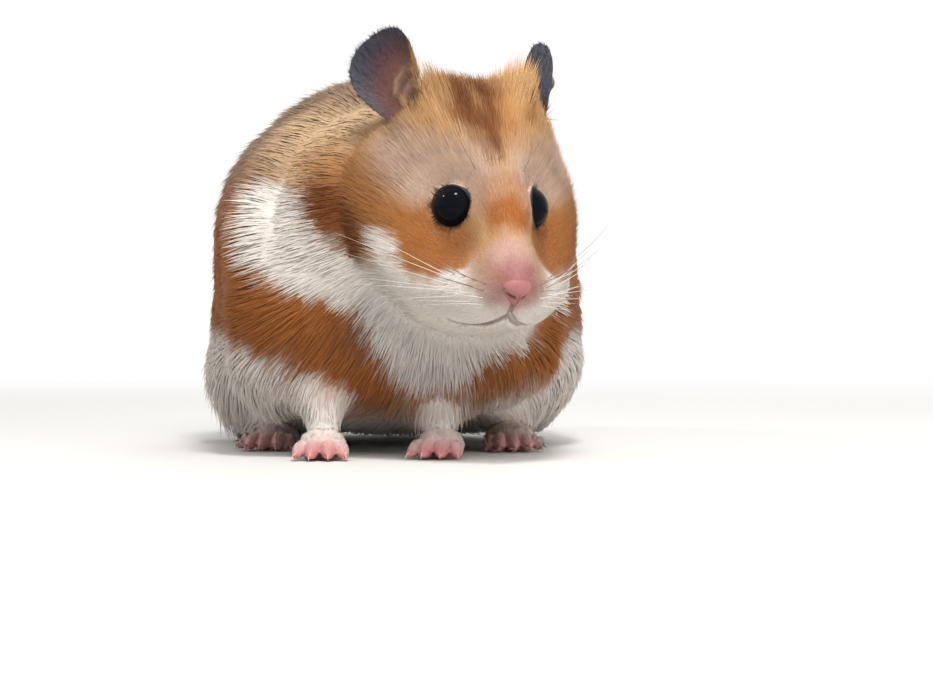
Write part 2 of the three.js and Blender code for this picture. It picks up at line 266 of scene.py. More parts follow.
def path_distance(points, path):
    return np.min([segment_distance(points, a, b) for a, b in zip(path, path[1:])], axis=0)


def streak(points, path, radius, soft=0.5):
    """1 near a path, falling to 0 past the radius."""
    return 1 - smooth_step(path_distance(points, path), radius * (1 - soft), radius * (1 + soft))


def blob(points, middle, radii, soft=0.35):
    """1 inside an ellipsoid, falling to 0 outside it."""
    reach = np.linalg.norm((points - np.array(middle)) / np.array(radii), axis=1)
    return 1 - smooth_step(reach, 1 - soft, 1 + soft)


def patch(flat, outline, soft):
    """1 inside an outline on a plane, falling to 0 across its edge."""
    x, z = flat.T
    inside = np.zeros(len(flat), bool)
    nearest = np.full(len(flat), np.inf)
    for (ax, az), (bx, bz) in zip(outline, [*outline[1:], outline[0]]):
        crosses = (az > z) != (bz > z)
        if az != bz:
            inside ^= crosses & (x < (bx - ax) * (z - az) / (bz - az) + ax)
        nearest = np.minimum(nearest, segment_distance(flat, (ax, az), (bx, bz)))
    return smooth_step(np.where(inside, nearest, -nearest), -soft, soft)


class Head:
    """The head's own frame: X to its left, Y back, Z up. Millimetres from between the eyes."""

    SNOUT_SLOPE = math.radians(18.2)  # the nose lies this far below the head's level
    FROM_EYES = np.array([0, -0.8, 0.2])

    def __init__(self):
        left, right = centre("eye_left"), centre("eye_right")
        middle = (left + right) / 2
        across = unit(left - right)
        forward = centre("nose") - middle
        forward = unit(forward - across * (forward @ across))
        upward = np.cross(across, -forward)
        tilt = (math.cos(self.SNOUT_SLOPE), math.sin(self.SNOUT_SLOPE))
        back = -forward * tilt[0] - upward * tilt[1]
        up = -forward * tilt[1] + upward * tilt[0]
        self.axes = np.array([across, back, up])
        self.origin = middle - (self.FROM_EYES * MM) @ self.axes

    def local(self, points):
        return (points - self.origin) @ self.axes.T / MM

    def world(self, points):
        return np.asarray(points, float) * MM @ self.axes + self.origin

    def direction(self, vectors):
        return np.asarray(vectors, float) @ self.axes


head = Head()
EYE_AT = {side: head.local(centre(f"eye_{side}")) for side in SIDES}
EYE_RADIUS = float((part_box("eye_left")[1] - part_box("eye_left")[0]).z / 2 / MM)
NOSE_AT = head.local(centre("nose"))
LOOK_OUT = {"left": math.radians(66), "right": math.radians(44)}
LOOK_UP = math.radians(17)


def lid_look(side):
    """The middle of the opening between an eye's lids, in the head's frame."""
    level = math.cos(LOOK_UP)
    out = SIDES[side] * math.sin(LOOK_OUT[side]) * level
    return np.array([out, -math.cos(LOOK_OUT[side]) * level, math.sin(LOOK_UP)])


def from_eye(local, side):
    """Rays from an eye's middle, how long they are, and their angles from the lids' opening."""
    ray = local - EYE_AT[side]
    reach = np.linalg.norm(ray, axis=1)
    ahead = (ray @ lid_look(side)) / np.maximum(reach, 1e-9)
    return ray, reach, np.arccos(np.clip(ahead, -1, 1))


# ---- meshes -----------------------------------------------------------------


def vertices_of(mesh):
    flat = np.empty(len(mesh.vertices) * 3, np.float32)
    mesh.vertices.foreach_get("co", flat)
    return flat.reshape(-1, 3).astype(float)


def normals_of(mesh):
    flat = np.empty(len(mesh.vertices) * 3, np.float32)
    mesh.vertex_normals.foreach_get("vector", flat)
    return flat.reshape(-1, 3).astype(float)


def set_vertices(mesh, points):
    mesh.vertices.foreach_set("co", np.ascontiguousarray(points, np.float32).ravel())
    mesh.update()


def edges_of(mesh):
    flat = np.empty(len(mesh.edges) * 2, np.int32)
    mesh.edges.foreach_get("vertices", flat)
    return flat.reshape(-1, 2)


def set_attribute(mesh, name, kind, values):
    field = {"FLOAT": "value", "FLOAT_VECTOR": "vector", "FLOAT_COLOR": "color"}[kind]
    attribute = mesh.attributes.get(name) or mesh.attributes.new(name, kind, "POINT")
    attribute.data.foreach_set(field, np.ascontiguousarray(values, np.float32).ravel())


def averaged(values, edges, rounds, share=0.6):
    """Values on vertices, blurred along the mesh's edges."""
    a, b = np.concatenate([edges, edges[:, ::-1]]).T
    flat = values.reshape(len(values), -1).astype(float)
    count = np.maximum(np.bincount(a, minlength=len(flat)), 1)
    for _ in range(rounds):
        for column in flat.T:
            mean = np.bincount(a, weights=column[b], minlength=len(flat)) / count
            column += (mean - column) * share
    return flat.reshape(values.shape)


def relaxed(points, edges, share, rounds):
    """Places on a mesh, drawn by their own shares towards the middle of their neighbours."""
    for _ in range(rounds):
        points = points + (averaged(points, edges, 1, 1) - points) * share[:, None]
    return points


def new_object(name, mesh):
    made = bpy.data.objects.new(name, mesh)
    bpy.context.scene.collection.objects.link(made)
    return made


def object_from(shape, name):
    """A new object from a bmesh, which is freed."""
    mesh = bpy.data.meshes.new(name)
    shape.to_mesh(mesh)
    shape.free()
    return new_object(name, mesh)


def sort_faces(shape):
    """Puts faces in an order that is the same on each run, which a new sphere's isn't."""
    shape.verts.index_update()
    count = len(shape.verts)

    def rank(face):
        first, second, third = sorted(vertex.index for vertex in face.verts)[:3]
        return float((first * count + second) * count + third)

    shape.faces.sort(key=rank)


def search_tree(mesh):
    """A tree that finds the nearest place on a mesh."""
    shape = bmesh.new()
    shape.from_mesh(mesh)
    tree = BVHTree.FromBMesh(shape)
    shape.free()
    return tree


def shade_smooth(mesh):
    mesh.polygons.foreach_set("use_smooth", [True] * len(mesh.polygons))


def finished(made, name):
    """The object with its modifiers applied, as one plain mesh under its own name."""
    graph = bpy.context.evaluated_depsgraph_get()
    mesh = bpy.data.meshes.new_from_object(made.evaluated_get(graph), depsgraph=graph)
    made.modifiers.clear()
    made.data = mesh
    made.name = mesh.name = name
    return made


WELD = 0.001 * MM


def solid_copy(nodes, swell=0.0):
    """Copies of CAD nodes in one mesh, each closed and swollen by its own amount."""
    whole = bmesh.new()
    swells = swell if isinstance(swell, dict) else dict.fromkeys(nodes, swell)
    for node in nodes:
        piece = bmesh.new()
        piece.from_mesh(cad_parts[node].data)
        bmesh.ops.remove_doubles(piece, verts=piece.verts, dist=WELD)
        piece.normal_update()
        for vertex in piece.verts:
            vertex.co += vertex.normal * swells[node]
        mesh = bpy.data.meshes.new(node)
        piece.to_mesh(mesh)
        piece.free()
        whole.from_mesh(mesh)
        bpy.data.meshes.remove(mesh)
    mesh = bpy.data.meshes.new("copy")
    whole.to_mesh(mesh)
    whole.free()
    return mesh


def melted(nodes, voxel, swell, name):
    """Solids melted into one closed body of even grain."""
    made = new_object(name, solid_copy(nodes, swell))
    remesh = made.modifiers.new("Melt", "REMESH")
    remesh.mode = "VOXEL"
    remesh.voxel_size = voxel
    return finished(made, name)


# ---- skin -------------------------------------------------------------------


def region_weights(points, edges, rounds):
    """How much each vertex belongs to each region of the body, blurred across the borders."""
    names = [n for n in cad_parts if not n.startswith(("eye", "nose"))]
    corners, faces, owner = [], [], []
    for name in names:
        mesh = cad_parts[name].data
        first = len(corners)
        corners += [v.co for v in mesh.vertices]
        faces += [[first + i for i in p.vertices] for p in mesh.polygons]
        region = next(n for n, part in enumerate(REGIONS) if part in name)
        owner += [region] * len(mesh.polygons)
    tree = BVHTree.FromPolygons(corners, faces)
    weights = np.zeros((len(points), len(REGIONS)))
    for row, point in enumerate(points):
        weights[row, owner[tree.find_nearest(Vector(point))[2]]] = 1
    return averaged(weights, edges, rounds)


def by_region(weights, values):
    """A field from one value for each region."""
    return weights @ np.array([values[r] for r in REGIONS], float)


def part_of(weights, region):
    return weights[:, REGIONS.index(region)]


FACE_SWELL = 0.22 * MM  # closes the cuts between the solids before they are melted
BODY_SWELL = 1.2 * MM
SOFTENING = dict(trunk=1, neck=1, head=0.2, tail=0.3, leg=0.7, paw=0.2, ear=0.3)
SOFTENING_ROUNDS, SOFTENING_SHARE = 90, 0.6
SEAM_FROM = 26 * MM  # the join of head and neck is softened above this height
# How far the skin lies inside the solids, in millimetres
DEPTH = dict(trunk=4.2, neck=3.0, head=0.6, tail=0.3, leg=2.3, paw=0.8, ear=0.6)
NOSE_DEPTH = 0.4
LEFT_FLANK = ((32, -14, 20), (12, 24, 14))  # middle and radii of a fuller place
CHIN_CREASE = ((21.5, -33, 17.5), (8, 8, 8))
CREASE_ROUNDS = 40
BRIDGE_RADII = (2.2, 3, 3.4)
LOWEST_SKIN = 0.3 * MM


def body_mesh():
    """Trunk, neck, head, tail and legs as one smooth body, a coat's depth inside the solids."""
    swell = {
        **dict.fromkeys(["head", "tail", "nose"], FACE_SWELL),
        **dict.fromkeys(["trunk", "neck"] + LEGS, BODY_SWELL),
    }
    made = melted(list(swell), settings("skin").voxel, swell, "body")
    mesh = made.data
    edges = edges_of(mesh)
    points = vertices_of(mesh)
    weights = region_weights(points, edges, 12)
    seam = border(part_of(averaged(weights, edges, 30), "head"))
    soft = np.maximum(by_region(weights, SOFTENING), seam * (points[:, 2] > SEAM_FROM))
    points = relaxed(points, edges, soft * SOFTENING_SHARE, SOFTENING_ROUNDS)
    set_vertices(mesh, points)

    at, local = points / MM, head.local(points)
    height, on_head = at[:, 2], part_of(weights, "head")
    depth = by_region(weights, DEPTH)
    full = 1.3 * smooth_step(height, 4, 12) + 2.2 * smooth_step(height, 29, 42)
    depth -= (full - 0.8 * smooth_step(height, 46, 58)) * part_of(weights, "trunk")
    depth -= 1.8 * blob(at, *LEFT_FLANK, 0.5) * (1 - on_head)
    depth += 1.5 * smooth_step(height, 12, 20) * part_of(weights, "leg")
    rear = smooth_step(np.linalg.norm(local - NOSE_AT, axis=1), 20, 30)
    depth += 0.7 * rear * on_head
    depth = mixed(depth, NOSE_DEPTH, blob(local, NOSE_AT, (16, 16, 16), 0.5) * on_head)
    low = 1 - smooth_step(height, 5, 14)
    depth = depth * (1 - 0.25 * low)
    bridge = blob(local, (3.6, -5.6, 2.4), BRIDGE_RADII, 0.7)
    bridge = bridge + 0.25 * blob(local, (-3.6, -5.6, 2.4), BRIDGE_RADII, 0.7)
    depth -= 1.1 * bridge * on_head
    points -= normals_of(mesh) * (depth * MM)[:, None]
    crease = blob(points / MM, *CHIN_CREASE, 0.6)
    points = relaxed(points, edges, crease * SOFTENING_SHARE, CREASE_ROUNDS)
    points[:, 2] = np.maximum(points[:, 2], LOWEST_SKIN)
    set_vertices(mesh, points)
    return made


def refine(mesh, near, rounds):
    """Splits the faces that lie near given places, so that small forms fit on them."""
    for reach in rounds:
        shape = bmesh.new()
        shape.from_mesh(mesh)
        points = np.array([v.co for v in shape.verts])
        close = np.zeros(len(points), bool)
        for place, radius in near:
            close |= np.linalg.norm(points - place, axis=1) < radius * reach
        shape.verts.ensure_lookup_table()
        edges = [e for e in shape.edges if close[e.verts[0].index] and close[e.verts[1].index]]
        bmesh.ops.subdivide_edges(shape, edges=edges, cuts=1, use_grid_fill=True)
        shape.to_mesh(mesh)
        shape.free()


# Lines on the left half of the face, in the head's own frame
MOUTH = [(0, -16, -10.6), (0.7, -15.7, -11.4), (1.4, -15.1, -12.3), (2.3, -14.3, -13.1),
         (3.6, -13.3, -14), (5.3, -12.1, -14.5), (6.6, -11.3, -14.6), (7.4, -10.9, -14.4)]
PHILTRUM = [(0, -17.4, -8.6), (0, -16.6, -9.8), (0, -16, -10.6)]


class Lips:
    """The line of the mouth, laid on the skin."""

    def __init__(self, mesh):
        tree = search_tree(mesh)

        def laid(path):
            path = np.array(path, float)
            steps = np.concatenate([np.linspace(a, b, 4)[:-1] for a, b in zip(path, path[1:])])
            places = head.world(np.concatenate([steps, path[-1:]]))
            return head.local(np.array([tree.find_nearest(Vector(p))[0] for p in places]))

        self.mouth, self.philtrum = laid(MOUTH), laid(PHILTRUM)

    def distance(self, local):
        folded = both_sides(local)
        lips = path_distance(folded, self.mouth)
        return np.minimum(lips, path_distance(folded, self.philtrum) + 0.12)


def open_eyes(points):
    """Clears the skin from the front of each eye and lowers it to the lids round the ball."""
    local = head.local(points)
    opening = settings("skin").lid_angle
    for side in SIDES:
        ray, reach, angle = from_eye(local, side)
        sunk = np.minimum(reach, EYE_RADIUS - 0.35)
        target = mixed(sunk, reach, smooth_step(angle, opening + 0.08, opening + 0.6))
        share = 1 - smooth_step(reach, EYE_RADIUS + 2, EYE_RADIUS + 3.5)
        new = mixed(reach, target, share)
        local = EYE_AT[side] + ray * (new / np.maximum(reach, 1e-9))[:, None]
    return head.world(local)


LID_PROFILE = [  # radians behind the lid's edge, and millimetres proud of the lid's own level
    (0, -0.5), (0, -0.08), (0.02, -0.02), (0.05, 0.02), (0.09, 0.03), (0.14, 0.02), (0.2, 0),
    (0.28, -0.02), (0.38, -0.04), (0.5, -0.08), (0.65, -0.14), (0.8, -0.22), (0.8, -0.5),
]
LID_STEPS = 112


def lid_mesh(side):
    """A thin ring that hugs the eye behind the opening between its lids."""
    size = settings("skin")
    look = lid_look(side)
    across = unit(np.cross(look, (0, 0, 1)))
    above = np.cross(across, look)
    shape = bmesh.new()
    rows = []
    for behind, proud in LID_PROFILE:
        turn = np.linspace(0, 2 * math.pi, LID_STEPS, endpoint=False)[:, None]
        angle = size.lid_angle + behind
        radius = EYE_RADIUS + size.lid_thickness / MM + proud
        outward = np.cos(turn) * across + np.sin(turn) * above
        spots = EYE_AT[side] + radius * (math.cos(angle) * look + math.sin(angle) * outward)
        rows.append([shape.verts.new(place) for place in head.world(spots)])
    for row, following in zip(rows, [*rows[1:], rows[0]]):
        for n in range(LID_STEPS):
            m = (n + 1) % LID_STEPS
            shape.faces.new((row[n], row[m], following[m], following[n]))
    bmesh.ops.recalc_face_normals(shape, faces=shape.faces)
    return object_from(shape, f"lid_{side}")


LIP_AWAY, LIP_WIDTH, LIP_HEIGHT = 1.1, 0.5, 0.22 * MM
GROOVE_WIDTH = 0.4


def shape_mouth(points, normals, lips):
    """The line between the lips, with the lips a little full beside it."""
    away = lips.distance(head.local(points))
    groove = np.exp(-((away / GROOVE_WIDTH) ** 2)) * settings("skin").mouth_depth
    lip = np.exp(-(((away - LIP_AWAY) / LIP_WIDTH) ** 2)) * LIP_HEIGHT
    return points + normals * (lip - groove)[:, None]


class Ear:
    """An ear's own frame in millimetres: X to its front edge, Y to its tip, Z out of its back."""

    FOOT = np.array([1.0, -8.0, 0.0])  # where its veins and hair spread from
    FRINGE_AT = {"left": (5.2, 9, 13.6), "right": (-9, 11, 13.4)}  # in the head's frame
    FRINGE_SPREAD = {"left": (2.8, 3, 2.4), "right": (2.4, 3.2, 3)}
    EDGE = {"left": 0, "right": 1}  # how shaggy its front edge is
    REACH = 16 * MM
    FOLDS = [
        [(4.4, -1.0), (2.2, -0.2), (0.2, -0.9), (-1.0, -2.6)],
        [(4.2, -3.6), (2.4, -2.8), (0.8, -3.4), (-0.1, -4.8)],
    ]

    def __init__(self, side):
        self.side = side
        points = vertices_of(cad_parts[f"ear_{side}"].data)
        self.middle = points.mean(axis=0)
        along, across, through = np.linalg.svd(points - self.middle, full_matrices=False)[2]
        along = along * np.sign(along[2])
        across = across * np.sign(across @ head.direction((-0.5 * SIDES[side], -1, 0)))
        rim = np.argsort(-np.abs((points - self.middle) @ across))[: len(points) // 5]
        through = through * -np.sign(((points - self.middle) @ through)[rim].mean())
        self.axes = np.array([across, along, through])

    def local(self, points):
        return (points - self.middle) @ self.axes.T / MM

    def near(self, points, weights):
        return part_of(weights, "ear") * (np.linalg.norm(points - self.middle, axis=1) < self.REACH)

    def hollow(self, normals):
        return smooth_step(-(normals @ self.axes[2]), -0.1, 0.4)

    def fringe(self, points):
        """How near a place on the head is to the long hair in front of the ear."""
        away = (head.local(points) - self.FRINGE_AT[self.side]) / self.FRINGE_SPREAD[self.side]
        return np.exp(-((away**2).sum(axis=1)))

    def shaggy(self, local, normals):
        """Where the ear itself is long haired: the foot of its back and of its front edge."""
        hollow = self.hollow(normals)
        back = blob(local[:, :2], (2, -12.5), (5.5, 4), 0.5) * (1 - hollow)
        edge = smooth_step(local[:, 0] - 0.3 * local[:, 1], 4, 6) * hollow
        edge = edge * (1 - smooth_step(local[:, 1], -1, 4)) * self.EDGE[self.side]
        return back, edge

    def folds(self, local):
        return np.min([path_distance(local[:, :2], fold) for fold in self.FOLDS], axis=0)


ANY_ANGLE = 3.1  # radians, so that every pair of triangles may join


def ear_mesh(side):
    """A thin, smooth leaf with folds at the foot of its hollow."""
    name = f"ear_{side}"
    made = new_object(name + "_skin", solid_copy([name]))
    shape = bmesh.new()
    shape.from_mesh(made.data)
    bmesh.ops.join_triangles(
        shape,
        faces=shape.faces,
        angle_face_threshold=ANY_ANGLE,
        angle_shape_threshold=ANY_ANGLE,
    )
    shape.to_mesh(made.data)
    shape.free()
    round_off = made.modifiers.new("Round", "SUBSURF")
    round_off.levels = round_off.render_levels = 3
    finished(made, name + "_skin")
    ear = Ear(side)
    points, normals = vertices_of(made.data), normals_of(made.data)
    local = ear.local(points)
    ridge = np.exp(-((ear.folds(local) / 0.75) ** 2)) * 0.75
    pit = blob(local[:, :2], (2.2, -6), (2, 2), 0.6) * 0.35
    points += normals * ((ridge - pit) * ear.hollow(normals) * MM)[:, None]
    set_vertices(made.data, points)
    return made


PAW_SWELL = 0.02 * MM


def paw_mesh(node):
    made = melted([node], settings("skin").paw_voxel, PAW_SWELL, node + "_skin")
    points = vertices_of(made.data)
    points = averaged(points, edges_of(made.data), 5, 0.7)
    points[:, 2] = np.maximum(points[:, 2], 0)
    set_vertices(made.data, points)
    return made


def united(base, others):
    """One mesh from overlapping ones."""
    for other in others:
        cut = base.modifiers.new("Unite", "BOOLEAN")
        cut.operation = "UNION"
        cut.solver = "MANIFOLD"
        cut.object = other
    finished(base, base.name)
    for other in others:
        bpy.data.objects.remove(other)
    return base


class HAMSTER_OT_skin(bpy.types.Operator):
    """Makes the one skin that stands for all the flesh"""

    bl_idname = "hamster.skin"
    bl_label = "Skin"

    EYE_REACH = 7.5 * MM
    MUZZLE_AT, MUZZLE_REACH = (0, -13.5, -9), 11 * MM
    ROUNDS, SHARE = 8, 0.5  # of smoothing where the faces were split

    def execute(self, context):
        body = body_mesh()
        near = [(head.world(EYE_AT[side]), self.EYE_REACH) for side in SIDES]
        near.append((head.world(self.MUZZLE_AT), self.MUZZLE_REACH))
        refine(body.data, near, (1, 0.8))
        points = vertices_of(body.data)
        close = np.zeros(len(points))
        for place, radius in near:
            away = np.linalg.norm(points - place, axis=1)
            close = np.maximum(close, 1 - smooth_step(away, radius * 0.9, radius * 1.1))
        points = relaxed(points, edges_of(body.data), close * self.SHARE, self.ROUNDS)
        points = open_eyes(points)
        set_vertices(body.data, points)
        lips = Lips(body.data)
        set_vertices(body.data, shape_mouth(points, normals_of(body.data), lips))
        others = [paw_mesh(node) for node in PAWS]
        others += [make(side) for side in SIDES for make in (ear_mesh, lid_mesh)]
        skin = united(body, others)
        skin.name = skin.data.name = "skin"
        shade_smooth(skin.data)
        unwrap(skin)
        mark(skin, lips)
        skin.data.materials.clear()
        skin.data.materials.append(skin_material())
        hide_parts("trunk", "neck", "head", "tail", *LEGS, *PAWS, *EARS)
        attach(skin, BODY)
        return {"FINISHED"}


def unwrap(made):
    """Gives a piece the map that the tufts' own patches are laid on."""
    bpy.ops.object.select_all(action="DESELECT")
    made.select_set(True)
    bpy.context.view_layer.objects.active = made
    made.data.uv_layers.new(name="unwrap")
    bpy.ops.object.mode_set(mode="EDIT")
    bpy.ops.mesh.select_all(action="SELECT")
    bpy.ops.uv.smart_project(angle_limit=math.radians(66), island_margin=0.002)
    bpy.ops.object.mode_set(mode="OBJECT")


# ---- markings, painted shade and highlights, and the lie of the coat --------


def colour_of(name):
    return np.array(getattr(settings("colours"), name))


def painted(base, layers):
    """Colours laid one over another. A layer is a share for each vertex and a colour."""
    for share, name in layers:
        base = mixed(base, colour_of(name), share)
    return base


# Outlines in the head's own frame, back and up in millimetres, the same on both sides.
FLASH = [(19.8, -5.9), (17.8, -4.2), (15, -4.6), (12.7, -4.8), (7.6, -4.6), (4.8, -5.6), (3, -8.6),
         (3.6, -12.6), (8.4, -13.4), (9.7, -12.4), (11.8, -11.7), (14.5, -10.5), (17.8, -8.4)]
COLLAR = [(-5, -12.5), (2.1, -11.9), (6.3, -13.6), (8.4, -13.1), (9.7, -12), (11.8, -11.4),
          (14.5, -10.2), (17.8, -8.1), (19.8, -7.2), (23.3, -7.8), (27.6, -9.2), (26.8, -10.8),
          (25.4, -12.2), (23.3, -14.2), (21.3, -17.2), (17.8, -19.4), (14.5, -19.9),
          (11.4, -20.5), (9.2, -20.8), (4.8, -21), (-5, -21)]
WEDGE = [(3.4, -6.1), (2.3, -4.5), (0.6, -5.9), (-0.8, -7.7), (-2.8, -9), (-6, -12), (-3, -14),
         (0, -12), (0.8, -9.8), (2.2, -8.6)]
WEDGE_SET_BACK = 5  # on the left side
# The breast's outline and the belly's upper line, seen from the front, across and up.
BIB = [(-6.5, 24.5), (-6.2, 23.2), (-4.7, 20.3), (-2.8, 18.3), (-0.9, 15.4), (1, 12.2), (4, 9.4),
       (8.6, 8.5), (12.7, 10.2), (15.4, 13.6), (18.4, 14.7), (20.9, 16), (25, 17), (26, 21),
       (22, 27), (0, 28)]
WAIST_ACROSS = [-34, -28, -22, -16.8, -14, -10.5, -7.8, 0, 9.5, 15.6, 21.1, 27, 32, 35]
WAIST_HEIGHT = [20.5, 19.5, 16, 14.1, 11.6, 8.8, 7.7, 6.6, 6.4, 8.7, 10.3, 12.6, 19, 21]


# Painted shade on the breast between the forelegs: middle and radii
BREAST_SHADE = ((-4.5, -39, 18), (4, 6, 4))


def nape_of(at):
    """The pale patch behind the ears, on both sides."""
    places = ((-9, -31, 51), (8, -25, 60), (28, -23, 51))
    return np.maximum.reduce([blob(at, place, (12.5, 17, 10), 0.5) for place in places])


def side_layers(points):
    """Golden cheek, dark flash, white collar and white wedge, on both sides."""
    wobble = 0.5 * ripple(points, 5 * MM, 5) + 0.35 * ripple(points, 2 * MM, 6)
    at = head.local(points) + wobble[:, None] * [0, 1, 0.8]
    folded = both_sides(at)
    aside = smooth_step(folded[:, 0], 8, 12)
    set_back = np.where(at[:, :1] > 0, WEDGE_SET_BACK, 0) * [1, 0]
    return [
        (blob(folded, (20, 11, -3), (8, 13, 5.5), 0.6) * 0.9, "golden"),
        (patch(folded[:, 1:], FLASH, 1.7) * aside, "flash"),
        (patch(folded[:, 1:], COLLAR, 1.1) * aside, "white"),
        (patch(folded[:, 1:] - set_back, WEDGE, 0.7) * aside, "white"),
    ]


def body_colours(points):
    """Back, flanks, belly, collar and breast, with painted shade between the forelegs, from places
    on the body in millimetres.
    """
    at = points / MM
    wobble = 0.9 * ripple(points, 8 * MM, 1) + 0.6 * ripple(points, 3 * MM, 2)
    x, y, z = at.T
    front = 1 - smooth_step(y, -12, 6)
    sway = 1.6 * ripple(points, 17 * MM, 8) * (1 - front)
    waist = mixed(19.5, np.interp(x, WAIST_ACROSS, WAIST_HEIGHT), front) + wobble + sway
    low = 1 - smooth_step(z, waist - 2.2, waist + 2.2)
    behind = smooth_step(y, 14, 44)
    high = smooth_step(z + 1.6 * wobble, mixed(38, 27, behind), mixed(51, 49, behind))
    flat = at[:, [0, 2]] + (wobble * 0.6)[:, None]
    bib = patch(flat, BIB, 1.5) * front
    nape = nape_of(at)
    # Painted shade between the forelegs, in the dark colour of the ticked hair
    grey = np.maximum(
        blob(at, *BREAST_SHADE, 0.7), blob(at, (16, -36, 13), (4, 6, 4), 0.7) * 0.6
    )
    return painted(
        colour_of("flank")[None, :],
        [
            (behind * 0.35, "back"),
            (high, "back"),
            (nape, "cream"),
            (grey * 0.45, "ticking_and_shade"),
            *side_layers(points),
            (low, "belly"),
            (bib, "bib"),
        ],
    )


# The upper line of the white muzzle, back and up in the head's own frame
MUZZLE_BACK = [-16, -12, -10.7, -9.9, -8, -5.6, -2.8, 2]
MUZZLE_HEIGHT = [-5.6, -4.8, -4.6, -5.9, -8, -9.4, -9.8, -10.5]
CROWN_STREAK = [(-4.4, 7.6, 13.7), (-2.6, 4.4, 12), (-1.4, 0.8, 10.4)]


def head_colours(points):
    """The face's markings, and painted shade below the eyes, from places in the head's own frame.
    """
    at = head.local(points)
    wobble = 0.5 * ripple(points, 5 * MM, 3) + 0.35 * ripple(points, 1.8 * MM, 4)
    at = at + wobble[:, None] * [0.6, 1, 1]
    folded = both_sides(at)
    x, y, z = folded.T
    muzzle = smooth_step(np.interp(y, MUZZLE_BACK, MUZZLE_HEIGHT) - z, -1.6, 2)
    mottle = np.clip(0.75 + 0.4 * ripple(points, 2.4 * MM, 12), 0, 1)
    return painted(
        colour_of("tan")[None, :],
        [
            (blob(folded, (9, -2.5, 7), (10, 7.5, 5.5), 0.5), "beige"),
            (blob(folded, (13, 5, 4), (6, 8, 5), 0.6), "beige"),
            (blob(folded, (0, -5.5, 6), (4.5, 5, 3), 0.6) * 0.5, "rust"),
            (blob(folded, (0, -8.4, 3.6), (5.4, 3, 3), 0.5), "rust"),
            (blob(folded, (12.5, -3, -5), (9.5, 10, 5.4), 0.4), "cheek"),
            # Painted shade below and in front of each eye, in the stripe's colour
            (blob(folded, (7, -5, -2.8), (4.2, 4.2, 2.4), 0.6) * 0.45, "stripe"),
            (blob(at, (1.6, 6.5, 13.2), (3.2, 6, 3.4), 0.7) * 0.5, "rust"),
            (blob(at, (-3, 10.5, 15.4), (4.6, 5.4, 4.4), 0.5) * mottle, "stripe"),
            (blob(at, (-1.8, 5.8, 13), (3.2, 4.4, 3), 0.6) * 0.9 * mottle, "stripe"),
            (streak(at, CROWN_STREAK, 2.2) * mottle, "stripe"),
            (blob(at, (6.4, 8.6, 12.6), (1.8, 3, 2), 0.6) * 0.7 * mottle, "stripe"),
            (blob(folded, (14, 11.5, 7.8), (2.4, 3, 2), 0.6) * 0.4, "ticking_and_shade"),
            (blob(folded, (0, -14.2, -1.8), (4.6, 4.4, 3.2), 0.55) * 0.9, "snout"),
            (muzzle, "white"),
            (blob(folded, (5.2, -14, -4.8), (3, 3.4, 3), 0.6) * 0.75, "pad"),
            (blob(folded, (3.6, -16.6, -7.6), (2.2, 2.2, 2.2), 0.6) * 0.6, "pad"),
            *side_layers(points),
            (blob(folded, (0, -16.8, -5), (4.4, 3.6, 5), 0.7) * 0.95, "nose"),
        ],
    )


def lie_of_coat(points, normals, weights):
    """The direction in which the hair lies: from the nose back, and down the legs."""
    at = points / MM
    x, y, z = at.T
    away = unit(points - head.world(NOSE_AT + [0, 1.5, 0]))
    on_head = part_of(weights, "head") + part_of(weights, "ear")
    side = np.clip((x - 4) / 24, -1, 1)
    backward = np.stack([side * 0.85, 0 * x + 1, 0 * x - 0.3], axis=1)
    hanging = np.stack([np.clip((x - 7) / 16, -1, 1) * 0.8, 0 * x + 0.15, 0 * x - 1], axis=1)
    breast = (1 - smooth_step(z, 15, 30)) * (1 - smooth_step(np.abs(x - 6), 13, 25))
    breast = breast * smooth_step(-normals[:, 1], 0.1, 0.75) * (y < 0)
    flow = mixed(unit(backward), unit(hanging), breast)
    wave = np.stack([ripple(points, 14 * MM, 20 + n) for n in range(3)], axis=1)
    flow = unit(flow + 0.16 * wave)
    downward = np.tile([0, 0.25, -1], (len(at), 1))
    in_front = 1 - smooth_step(y, -4, 16)
    flow = mixed(flow, downward, part_of(weights, "leg") * (1 - smooth_step(z, 8, 22)) * in_front)
    flow = mixed(flow, away, np.clip(on_head, 0, 1))
    forward = np.tile([0, -1, 0.0], (len(at), 1))
    flow = mixed(flow, forward, part_of(weights, "paw"))
    for side in SIDES:
        ear = Ear(side)
        spread = unit(ear.local(points) - ear.FOOT) @ ear.axes
        flow = mixed(flow, spread, ear.near(points, weights))
        rising = unit(np.array([0, 0.2, 1]) + 0.35 * unit(ear.middle - points))
        flow = mixed(flow, rising, np.clip(ear.fringe(points) * on_head * 1.2, 0, 1))
    return unit(flow - normals * (flow * normals).sum(axis=1)[:, None])


